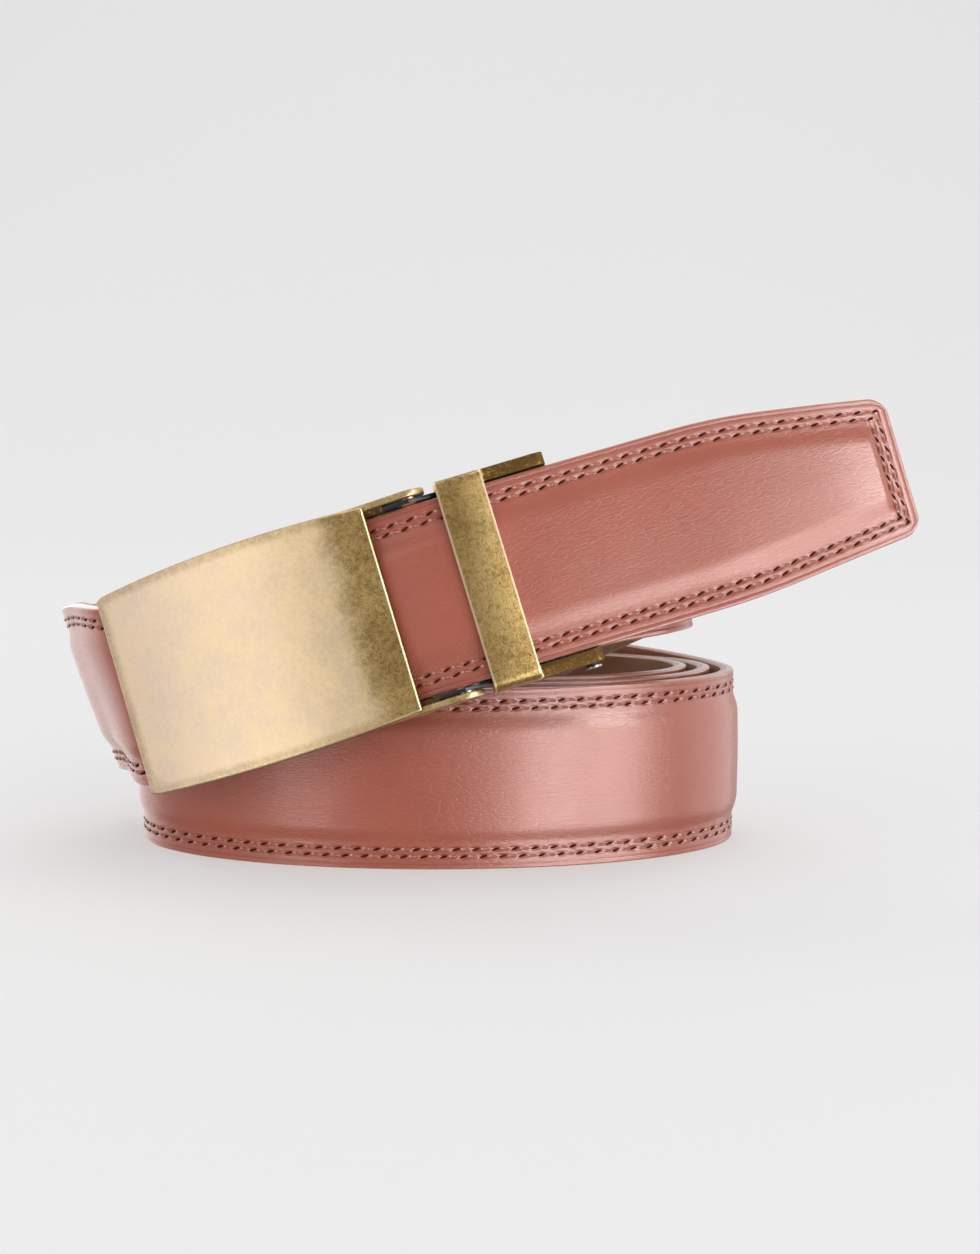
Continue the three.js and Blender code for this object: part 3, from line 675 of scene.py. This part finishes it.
def make_face():
    """The face: a slab with a soft rim, bent to the plate's arc."""
    middle_steps, face_steps = 14, 40
    run = np.linspace(FACE_INSETS[-1], PLATE_LENGTH - FACE_INSETS[-1], face_steps)[1:-1]
    stations = [*FACE_INSETS, *run, *(PLATE_LENGTH - inset for inset in reversed(FACE_INSETS))]
    inner = np.linspace(1, -1, middle_steps)[1:-1]
    count = 2 * len(FACE_INSETS) + len(inner)
    bpy.ops.mesh.primitive_grid_add(x_subdivisions=len(stations) - 1, y_subdivisions=count - 1, size=2)
    face = take("face")
    grid = coordinates(face)
    station = np.rint((grid[:, 0] + 1) / 2 * (len(stations) - 1)).astype(int)
    column = np.rint((grid[:, 1] + 1) / 2 * (count - 1)).astype(int)
    from_left = np.array(stations)[station]
    half = plate_half_at(from_left)
    top = [half - inset for inset in FACE_INSETS]
    middle = [(half - FACE_INSETS[-1]) * share for share in inner]
    rows = np.stack([*top, *middle, *(-row for row in reversed(top))])
    across = rows[column, np.arange(len(grid))]
    set_map(face, "plate", np.column_stack([PLATE_LENGTH - from_left, face_edge(from_left, across)]))
    set_map(face, "face", np.column_stack([PLATE_LENGTH - from_left, across]))
    set_coordinates(face, np.column_stack([from_left, across, np.zeros(len(grid))]))
    extruded(face, (0, 0, PLATE_THICKNESS))
    flat = coordinates(face)
    is_front = flat[:, 2] < PLATE_THICKNESS / 2
    from_left, across = flat[:, 0], flat[:, 1]
    drop = np.where(is_front, rounded_rim(face_edge(from_left, across), PLATE_RIM), PLATE_THICKNESS)
    angle = (from_left - PLATE_LENGTH / 2) / PLATE_CURVE_RADIUS
    radius = PLATE_CURVE_RADIUS + PLATE_FRONT - drop
    local = [PLATE_MIDDLE + radius * np.sin(angle), -ARC_CENTRE - radius * np.cos(angle), across]
    set_coordinates(face, in_frame(np.column_stack(local), PLATE_FRAME))
    outwards(face)
    return smooth(face)


def cut_sheet(name, outline, low, high, hole=None, bevel=SHEET_BEVEL):
    """A sheet cut to an outline of [along, back] places, from one height across to another."""
    bpy.ops.mesh.primitive_circle_add(vertices=len(outline), radius=1, fill_type="NGON")
    sheet = take(name)
    set_coordinates(sheet, [(x, y, low) for x, y in outline])
    extruded(sheet, (0, 0, high - low))
    if hole:
        x, y, radius = hole
        size = {"radius": radius, "depth": 4 * (high - low), "location": (x, y, (low + high) / 2)}
        bpy.ops.mesh.primitive_cylinder_add(vertices=32, **size)
        drill = take("drill")
        finished(sheet, "BOOLEAN", operation="DIFFERENCE", object=drill)
        bpy.data.objects.remove(drill)
    finished(sheet, "BEVEL", width=bevel, segments=3, limit_method="ANGLE")
    return sheet


def arc_edge(start, end, offset, steps):
    """Places along one of the layers of the plate's curve."""
    return [(x, -arc_out(x, offset)) for x in np.linspace(start, end, steps)]


def arm_outline():
    """A flange behind the plate's edge that runs back to a round eye on the hinge pin."""
    inside = PLATE_FRONT - PLATE_THICKNESS / 2
    eye_steps = 16
    angles = np.linspace(math.pi / 2, -math.pi / 2, eye_steps)
    eye = [(ARM_RADIUS * math.cos(angle), ARM_RADIUS * math.sin(angle)) for angle in angles]
    back = [(FLANGE_ROOT, -1 * MM), (-ARM_KNEE - ARM_DEPTH * 4, ARM_DEPTH), (-ARM_KNEE, ARM_DEPTH)]
    return [*back, (-ARM_REACH, ARM_RADIUS), *eye, *arc_edge(-ARM_REACH, FLANGE_ROOT, inside, 12)]


def gusset_outline():
    """The solid corner between an arm and the plate's end."""
    front = PLATE_FRONT - PLATE_THICKNESS
    left, right, back = -ARM_REACH - 1 * MM, -GUSSET_END, 1 * MM
    return [(left, back), (right, back), (right, -front), (left, -front)]


def make_plate():
    """The face with its arms and the corners between them, in one piece."""
    face = make_face()
    face.name = face.data.name = "curved_plate"
    parts = []
    for side in (1, -1):
        outside, inside = side * (ARM_OUTSIDE + ARM_SWELL), side * ARM_INSIDE
        low, high = sorted((inside, outside))
        drilled = {"hole": (0, 0, PIN_HOLE_RADIUS), "bevel": ARM_BEVEL}
        parts.append(cut_sheet("arm", arm_outline(), low, high, **drilled))
        low, high = sorted((side * (HALF_WIDTH + CLEARANCE), side * (ARM_INSIDE + ARM_THICKNESS / 2)))
        parts.append(cut_sheet("gusset", gusset_outline(), low, high))
    for part in parts:
        # A gusset's map puts it at the plate's right end and edge, so it takes the side walls' painted
        # shade; the arms' map gives them partly rubbed brass.
        place = 0 if part.name.startswith("gusset") else ARM_WEAR_PLACE
        set_map(part, "plate", np.full((len(part.data.vertices), 2), place))
        set_coordinates(part, in_frame(coordinates(part), PLATE_FRAME))
        smooth(part)
        finished(face, "BOOLEAN", operation="UNION", object=part)
        bpy.data.objects.remove(part)
    return smooth(face)


def dressed(name, title, bevel=0.12 * MM, segments=2, edge_finish=False):
    """A smooth copy of a metal piece with its edges broken."""
    node = frame["nodes"][name]
    piece = node.copy()
    piece.data = node.data.copy()
    bpy.context.scene.collection.objects.link(piece)
    piece.name = piece.data.name = title
    only(piece)
    bpy.ops.object.mode_set(mode="EDIT")
    bpy.ops.mesh.select_all(action="SELECT")
    bpy.ops.mesh.remove_doubles(threshold=CAD_MERGE)
    bpy.ops.mesh.dissolve_limited(angle_limit=CAD_FLAT_ANGLE)
    bpy.ops.object.mode_set(mode="OBJECT")
    while len(piece.data.materials) < 2:
        piece.data.materials.append(None)
    marked = {"material": 1} if edge_finish else {}
    settings = {"limit_method": "ANGLE", "angle_limit": CAD_SHARP_ANGLE, "harden_normals": False}
    finished(piece, "BEVEL", width=bevel, segments=segments, **settings, **marked)
    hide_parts(name)
    return smooth(piece)


# Shader maths
class Value:
    """A shader socket that Python's own operators work on."""

    def __init__(self, nodes, socket):
        self.nodes = nodes
        self.socket = socket

    def math(self, operation, *values):
        return self.nodes.add("Math", {"operation": operation}, dict(enumerate(values)))

    def __add__(self, other):
        return self.math("ADD", self, other)

    def __sub__(self, other):
        return self.math("SUBTRACT", self, other)

    def __rsub__(self, other):
        return self.math("SUBTRACT", other, self)

    def __mul__(self, other):
        return self.math("MULTIPLY", self, other)

    def __truediv__(self, other):
        return self.math("DIVIDE", self, other)

    def __abs__(self):
        return self.math("ABSOLUTE", self)

    __radd__ = __add__
    __rmul__ = __mul__

    def wave(self, period):
        """How far it is from the nearest whole period, in its own units."""
        return self.math("PINGPONG", self, period / 2)

    def ramp(self, low, high):
        """0 at low, 1 at high and smooth between them; low may be the larger."""
        inputs = {"Value": self, "From Min": low, "From Max": high}
        return self.nodes.add("MapRange", {"interpolation_type": "SMOOTHSTEP"}, inputs)


class Nodes:
    """Adds nodes to one tree, with their settings and the values or links of their sockets."""

    def __init__(self, tree):
        self.tree = tree

    def link(self, socket, value):
        if isinstance(value, Value):
            self.tree.links.new(value.socket, socket)
        elif hasattr(socket.default_value, "__len__") and len(socket.default_value) == 4:
            socket.default_value = (*value, 1)
        else:
            socket.default_value = value

    def add(self, kind, settings=None, inputs=None, output=0):
        made = self.tree.nodes.new("ShaderNode" + kind)
        for name, setting in (settings or {}).items():
            setattr(made, name, setting)
        for name, value in (inputs or {}).items():
            self.link(made.inputs[name], value)
        return Value(self, made.outputs[output])

    def uv(self, name):
        return self.add("UVMap", {"uv_map": name})

    def place(self):
        return self.add("TexCoord", output="Object")

    def part(self, vector, axis):
        return self.add("SeparateXYZ", inputs={0: vector}, output=axis)

    def stretched(self, vector, scale):
        return self.add("Mapping", inputs={"Vector": vector, "Scale": scale})

    def noise(self, vector, size, detail=2.0, roughness=0.5):
        inputs = {"Vector": vector, "Scale": 1 / size, "Detail": detail, "Roughness": roughness}
        return self.add("TexNoise", inputs=inputs)

    def cells(self, vector, size, feature="F1"):
        return self.add("TexVoronoi", {"feature": feature}, {"Vector": vector, "Scale": 1 / size})

    def mix(self, mask, first, second):
        return self.add("Mix", {"data_type": "RGBA"}, {0: mask, 6: first, 7: second}, output=2)

    def bump(self, height, distance):
        return self.add("Bump", inputs={"Height": height, "Distance": distance, "Strength": 1})


class Finish(Nodes):
    """A material with one Principled surface."""

    def __init__(self, name):
        self.material = bpy.data.materials.new(name)
        self.material.use_nodes = True
        super().__init__(self.material.node_tree)

    def set(self, **values):
        surface = self.tree.nodes["Principled BSDF"]
        for name, value in values.items():
            self.link(surface.inputs[name.replace("_", " ")], value)
        return self.material


# Colours, linear
TERRACOTTA = (0.41, 0.088, 0.043)
TERRACOTTA_DEEP = (0.35, 0.068, 0.032)
EDGE_PAINT = (0.54, 0.24, 0.2)
# SEAM_SHADE is painted shade in the seams' channels, the creases and round the needle holes; HOLE_SHADE is
# painted shade inside the needle holes.
SEAM_SHADE = (0.22, 0.04, 0.022)
HOLE_SHADE = (0.05, 0.008, 0.005)
THREAD = (0.42, 0.125, 0.078)
# THREAD_LIT is a painted highlight and THREAD_SHADE painted shade on the thread.
THREAD_LIT = (0.86, 0.5, 0.38)
THREAD_SHADE = (0.27, 0.062, 0.036)
LINING = (0.34, 0.19, 0.1)
LINING_DARK = (0.22, 0.12, 0.062)
BRASS = (0.64, 0.45, 0.19)
BRASS_WORN = (0.96, 0.74, 0.47)
PATINA = (0.1, 0.055, 0.016)
PATINA_OLIVE = (0.37, 0.24, 0.078)
TARNISH = (0.78, 0.62, 0.56)
GUNMETAL = (0.03, 0.034, 0.036)
GUNMETAL_WORN = (0.11, 0.115, 0.12)
NYLON = (0.018, 0.017, 0.016)
STEEL = (0.55, 0.55, 0.54)
BACKDROP = (0.42, 0.42, 0.42)
BACKDROP_GLOW = 0.405

WRINKLE_GRAIN = 0.7 * MM
FINE_GRAIN = 0.26 * MM


def leather_finish():
    finish = Finish("padded leather")
    flat = finish.uv("strap")
    seam_map = finish.uv("seam")
    along = finish.part(seam_map, "X")
    edge = finish.part(seam_map, "Y")
    wrinkles = finish.cells(finish.stretched(flat, (0.34, 1.3, 1)), WRINKLE_GRAIN, "DISTANCE_TO_EDGE")
    fine = finish.noise(finish.stretched(flat, (0.5, 1.4, 1)), FINE_GRAIN, detail=3)
    cloudy = finish.noise(flat, 16 * MM, detail=3)
    patchy = finish.noise(flat, 5 * MM, detail=2)
    creases = wrinkles.ramp(0.13, 0.0)
    pucker_and_shade = 0.0
    channel_shade = 0.0
    # Along each seam the leather is darkened with painted shade in its channel, and round each hole it is
    # dimpled and darkened with painted shade.
    for inset in SEAM_INSETS:
        beside = abs(edge - inset).ramp(0.7 * MM, 0.2 * MM)
        nearest_hole = (along - inset).wave(STITCH_PITCH).ramp(STITCH_PITCH * 0.42, 0)
        channel_shade = beside + channel_shade
        pucker_and_shade = beside * nearest_hole + pucker_and_shade
    crease = abs(edge - CREASE_INSET).ramp(0.22 * MM, 0.03 * MM)
    rim = edge.ramp(EDGE_ROUND, EDGE_ROUND * 0.3)
    tone = finish.mix(cloudy.ramp(0.35, 0.7) * 0.5 + patchy * 0.2, TERRACOTTA, TERRACOTTA_DEEP)
    # Painted shade: the grain's creases, the edge crease, the seam channels and the leather round each hole
    # are darkened towards SEAM_SHADE.
    tone = finish.mix(creases * 0.1 + crease * 0.45 + channel_shade * 0.26 + pucker_and_shade * 0.24, tone, SEAM_SHADE)
    tone = finish.mix(rim * 0.85, tone, EDGE_PAINT)
    body = 1 - rim
    height = (fine * 0.045 - creases * 0.026) * body - pucker_and_shade * 0.3
    return finish.set(
        Base_Color=tone,
        Roughness=0.28 + fine * 0.1 + creases * 0.06 - rim * 0.14,
        Specular_IOR_Level=0.75,
        Coat_Weight=0.2 + rim * 0.8,
        Coat_Roughness=0.2,
        Normal=finish.bump(height, 0.7 * MM),
    )


def thread_finish():
    finish = Finish("seam thread")
    local = finish.uv("thread")
    along = finish.part(local, "X")
    across = finish.part(local, "Y")
    # Painted shade darkens the grooves between the plies, which the bump also dents; a painted highlight
    # lights one end of each stitch, and painted shade darkens both ends where they dive into their holes.
    plies = (along + across * 1.3 + 1).wave(0.5 * MM) / (0.25 * MM)
    thread_highlight = along.ramp(STITCH_LENGTH * 0.1, STITCH_LENGTH * 0.26)
    into_hole = abs(along).ramp(STITCH_LENGTH * 0.42, STITCH_LENGTH * 0.5)
    tone = finish.mix(thread_highlight * 0.9, THREAD, THREAD_LIT)
    tone = finish.mix(plies * 0.4, tone, THREAD_SHADE)
    tone = finish.mix(into_hole * 0.85, tone, HOLE_SHADE)
    return finish.set(
        Base_Color=tone,
        Roughness=0.36,
        Specular_IOR_Level=0.6,
        Normal=finish.bump(plies * -1, 0.07 * MM),
    )


def hole_shade_finish():
    finish = Finish("painted hole shade")
    # The lenses' colour is painted shade, flecked with the seams' painted shade.
    flecks = finish.noise(finish.place(), 0.3 * MM)
    return finish.set(
        Base_Color=finish.mix(flecks.ramp(0.4, 0.75) * 0.5, HOLE_SHADE, SEAM_SHADE),
        Roughness=0.9,
        Specular_IOR_Level=0.0,
    )


def lining_finish():
    finish = Finish("lining leather")
    flat = finish.uv("strap")
    edge = finish.part(finish.uv("seam"), "Y")
    pores = finish.cells(flat, 0.8 * MM)
    fine = finish.noise(flat, 0.5 * MM, detail=4, roughness=0.6)
    cloudy = finish.noise(flat, 9 * MM, detail=3)
    rim = edge.ramp(0.35 * MM, 0.1 * MM)
    tone = finish.mix(cloudy * 0.6 + fine * 0.4, LINING, LINING_DARK)
    tone = finish.mix(rim * 0.85, tone, EDGE_PAINT)
    return finish.set(
        Base_Color=tone,
        Roughness=0.55 - rim * 0.35,
        Specular_IOR_Level=0.5,
        Coat_Weight=0.15,
        Coat_Roughness=0.3,
        Normal=finish.bump((fine * 0.6 + pores * 0.5) * (1 - rim), 0.1 * MM),
    )


def aged_brass(finish, worn, shade=0.0, veil=0.0):
    """Brass with an olive patina in blotches and specks. Where worn is 1 it is rubbed bright, shade darkens
    it towards the patina's colour as painted shade, and a veil is a thin tarnish."""
    place = finish.place()
    blotches = finish.noise(place, 0.95 * MM, detail=4, roughness=0.7)
    specks = finish.noise(place, 0.32 * MM, detail=2, roughness=0.6)
    cloudy = finish.noise(place, 7 * MM, detail=2)
    kept = 1 - worn
    mottle = (blotches * 0.55 + specks * 0.42 + cloudy * 0.12).ramp(0.4, 0.68)
    # The patina's mottle where it is kept, plus the painted shade.
    dark = mottle * kept + shade
    olive = (cloudy.ramp(0.3, 0.75) * 0.5 + 0.35) * kept
    haze = (blotches * 0.5 + cloudy * 0.4 + specks * 0.1).ramp(0.4, 0.66) * 0.42 * worn
    tone = finish.mix(worn, BRASS, BRASS_WORN)
    tone = finish.mix(haze + veil, tone, TARNISH)
    tone = finish.mix(olive, tone, PATINA_OLIVE)
    tone = finish.mix(dark * 0.8, tone, PATINA)
    return finish.set(
        Base_Color=tone,
        Metallic=1.0,
        Roughness=0.34 + dark * 0.16 + specks * 0.08,
        Normal=finish.bump(specks * kept * -0.5 - dark * 0.5, 0.035 * MM),
    )


def crescent_rub(finish):
    """A faint crescent, rubbed near the top of the face."""
    flat = finish.uv("face")
    from_right, across = finish.part(flat, "X"), finish.part(flat, "Y")
    right, up = from_right - RUB_FROM_RIGHT, across - RUB_ACROSS
    square = right * right + up * up
    line = abs(square.math("SQRT", square) - RUB_RADIUS).ramp(RUB_WIDTH, RUB_WIDTH / 7)
    return line * across.ramp(8 * MM, 11 * MM) * from_right.ramp(13 * MM, 12 * MM)


def plate_finish():
    """The plate is rubbed bright, but for the end beside the strap; its side walls, and the gussets whose
    map puts them at the edge, are darkened with painted shade.
    """
    finish = Finish("aged brass face")
    flat = finish.uv("plate")
    from_right = finish.part(flat, "X")
    edge = finish.part(flat, "Y")
    drift = finish.noise(finish.place(), 4 * MM, detail=4, roughness=0.7) - 0.5
    rubbed = (from_right + drift * 7 * MM).ramp(3.5 * MM, 11 * MM) * 0.8
    rubbed = rubbed + (from_right + drift * 10 * MM).ramp(9 * MM, 26 * MM) * 0.16
    rim = edge.ramp(0.55 * MM, 0.35 * MM)
    beside_rim = edge.ramp(2.4 * MM, 0.9 * MM) * 0.3
    # Painted shade on the side walls, at the face's edge.
    wall = edge.ramp(0.05 * MM, 0.0)
    worn = rubbed * (1 - beside_rim)
    worn = worn.math("MAXIMUM", worn, rim * 0.62 + crescent_rub(finish) * 0.6)
    veil = from_right.ramp(24 * MM, 50 * MM) * 0.3
    return aged_brass(finish, worn * (1 - wall * 0.9), wall * 0.8, veil)


def brass_finish():
    """The keeper's bar is mottled, and its cheeks, which nothing rubs, keep their patina and are darkened
    further with painted shade.
    """
    finish = Finish("aged brass")
    drift = finish.noise(finish.place(), 4 * MM, detail=3)
    along = finish.part(finish.uv("bar"), "X")
    bar_end = KEEPER_START + KEEPER_WIDTH
    sheltered_and_shaded = along.ramp(bar_end, bar_end + 0.6 * MM)
    from_middle = abs(along - (KEEPER_START + KEEPER_WIDTH / 2))
    rubbed_edge = from_middle.ramp(KEEPER_WIDTH / 2 - 0.5 * MM, KEEPER_WIDTH / 2 - 0.25 * MM)
    rubbed_edge = rubbed_edge * (1 - sheltered_and_shaded)
    worn = (drift.ramp(0.45, 0.75) * 0.12 + rubbed_edge * 0.75) * (1 - sheltered_and_shaded)
    # The cheeks are unrubbed, and their further darkening is painted shade.
    return aged_brass(finish, worn, sheltered_and_shaded * 0.9)


def rubbed_edge_finish():
    finish = Finish("rubbed brass edge")
    drift = finish.noise(finish.place(), 1.6 * MM, detail=3)
    return aged_brass(finish, drift.ramp(0.25, 0.5) * 0.4 + 0.6)


def gunmetal_finish():
    finish = Finish("gunmetal plating")
    place = finish.place()
    fine = finish.noise(place, 0.4 * MM, detail=3)
    cloudy = finish.noise(place, 3 * MM, detail=3)
    return finish.set(
        Base_Color=finish.mix(cloudy.ramp(0.5, 0.8) * 0.5, GUNMETAL, GUNMETAL_WORN),
        Metallic=0.85,
        Roughness=0.3 + fine * 0.16,
        Normal=finish.bump(fine, 0.03 * MM),
    )


def steel_finish():
    finish = Finish("plain steel")
    brushed = finish.noise(finish.stretched(finish.place(), (1, 1, 12)), 2 * MM, detail=4)
    return finish.set(
        Base_Color=finish.mix(brushed, STEEL, GUNMETAL_WORN),
        Metallic=1.0,
        Roughness=0.2 + brushed * 0.16,
        Normal=finish.bump(brushed, 0.02 * MM),
    )


def nylon_finish():
    finish = Finish("moulded nylon")
    fine = finish.noise(finish.place(), 0.5 * MM, detail=2)
    return finish.set(
        Base_Color=NYLON,
        Roughness=0.4 + fine * 0.14,
        Normal=finish.bump(fine, 0.03 * MM),
    )


def wear(piece, *finishes):
    """The piece's own slots, in their order, take the finishes."""
    slots = piece.data.materials
    while len(slots) > len(finishes):
        slots.pop()
    while len(slots) < len(finishes):
        slots.append(None)
    for place, finish in enumerate(finishes):
        slots[place] = finish


# Studio
def make_camera():
    data = bpy.data.cameras.new("camera")
    data.sensor_width = SENSOR
    data.lens = FOCAL_PIXELS / IMAGE_HEIGHT * SENSOR
    camera = bpy.data.objects.new("camera", data)
    camera.location = OFFSET @ CAMERA_PLACE
    camera.rotation_euler = (math.pi / 2 - CAMERA_PITCH, 0, 0)
    bpy.context.scene.collection.objects.link(camera)
    bpy.context.scene.camera = camera


def make_floor():
    """A pale floor whose back edge is drawn up into a wall, with a wide curve between them."""
    size, back, high, bend = 5, 1.5, 2.4, 0.8
    bpy.ops.mesh.primitive_plane_add(size=size, location=(0, back - size / 2, 0))
    floor = take("studio_floor")
    bpy.ops.object.mode_set(mode="EDIT")
    bpy.ops.mesh.select_all(action="DESELECT")
    bpy.ops.object.mode_set(mode="OBJECT")
    for edge in floor.data.edges:
        edge.select = all(floor.data.vertices[i].co.y > size / 2 - bend for i in edge.vertices)
    bpy.ops.object.mode_set(mode="EDIT")
    bpy.ops.mesh.select_mode(type="EDGE")
    bpy.ops.mesh.extrude_region_move(TRANSFORM_OT_translate={"value": (0, 0, high)})
    bpy.ops.object.mode_set(mode="OBJECT")
    bpy.ops.object.transform_apply(location=True)
    finished(floor, "BEVEL", width=bend, segments=16, limit_method="ANGLE")
    finish = Finish("studio floor")
    mottle = finish.noise(finish.place(), 0.4, detail=2)
    tone = finish.mix(mottle * 0.02, BACKDROP, (1, 1, 1))
    glow = {"Emission_Color": (1, 1, 1), "Emission_Strength": BACKDROP_GLOW}
    finish.set(Base_Color=tone, Roughness=0.9, Specular_IOR_Level=0.1, **glow)
    wear(smooth(floor, FLOOR_SMOOTH), finish.material)
    floor.visible_glossy = False
    floor.visible_shadow = False


def softbox(name, azimuth, elevation, distance, size, radiance, seen):
    """A rectangular light that looks at the belt; azimuth is in degrees to the camera's right.
    One that is seen in gloss alone is a reflecting card, and a matte one gives no highlight."""
    turn, rise = math.radians(azimuth), math.radians(elevation)
    way = Vector((math.sin(turn) * math.cos(rise), -math.cos(turn) * math.cos(rise), math.sin(rise)))
    data = bpy.data.lights.new(name, "AREA")
    data.shape = "RECTANGLE"
    data.size, data.size_y = size
    data.energy = radiance * math.pi * size[0] * size[1]
    light = bpy.data.objects.new(name, data)
    light.location = LIGHT_AIM + way * distance
    light.rotation_euler = (-way).to_track_quat("-Z", "Y").to_euler()
    light.visible_diffuse = seen != "gloss"
    light.visible_glossy = seen != "matte"
    bpy.context.scene.collection.objects.link(light)


def make_world():
    """A white studio that is dim on the camera's side and below the belt."""
    world = bpy.data.worlds.new("studio")
    world.use_nodes = True
    nodes = Nodes(world.node_tree)
    way = nodes.add("TexCoord", output="Generated")
    towards_camera = nodes.part(way, "Y") * -1
    strength = STUDIO_STRENGTH - towards_camera.ramp(*CAMERA_SIDE) * CAMERA_SIDE_DIMMED
    below = nodes.part(way, "Z").ramp(*BELOW)
    background = world.node_tree.nodes["Background"]
    nodes.link(background.inputs["Color"], (1, 1, 1))
    nodes.link(background.inputs["Strength"], strength * (1 - below * BELOW_DIMMED))
    bpy.context.scene.world = world


def make_light():
    for row in LIGHTS:
        softbox(*row)
    make_world()
    bpy.context.scene.view_settings.view_transform = "Standard"


# The belt
make_camera()
make_floor()
make_light()

leather = make_leather()
wear(leather, leather_finish())
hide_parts("strap_leather")

lining = make_lining()
wear(lining, lining_finish())
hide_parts("strap_lining")

stitches = make_stitches()
wear(stitches, thread_finish())

holes = make_hole_shade()
wear(holes, hole_shade_finish())

plate = make_plate()
wear(plate, plate_finish())
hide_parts("face_plate")

keeper = dressed("keeper_frame", "keeper_loop", bevel=0.4 * MM, segments=3, edge_finish=True)
map_bar(keeper)
wear(keeper, brass_finish(), rubbed_edge_finish())

dark, bright = gunmetal_finish(), steel_finish()
housing = dressed("ratchet_housing", "housing_shell")
channel = dressed("clamp_channel", "clamp_shell")
lever = dressed("release_lever", "sprung_lever")
lever_pin = dressed("lever_pin", "lever_axle")
jaw = dressed("clamp_jaw", "toothed_jaw", bevel=0.05 * MM)
rounded = {"bevel": 0.25 * MM, "segments": 3}
rivets = [dressed(f"jaw_rivet_{side}", f"rivet_{side}", **rounded) for side in ("upper", "lower")]
hinges = [dressed(f"hinge_pin_{side}", f"hinge_{side}", **rounded) for side in ("upper", "lower")]
for piece in (housing, channel):
    wear(piece, dark)
for piece in (lever, lever_pin, jaw, *rivets):
    wear(piece, bright)
for piece in hinges:
    wear(piece, keeper.data.materials[1])
wear(frame["nodes"]["ratchet_track"], nylon_finish())

SLOTS = {
    "leather": (leather, stitches, holes),
    "lining": (lining,),
    "antique_brass": (plate, keeper, *hinges),
    "gunmetal": (housing, channel),
    "steel": (lever, lever_pin, jaw, *rivets),
}
for slot, pieces in SLOTS.items():
    for piece in pieces:
        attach(piece, "lever" if piece is lever else "belt")
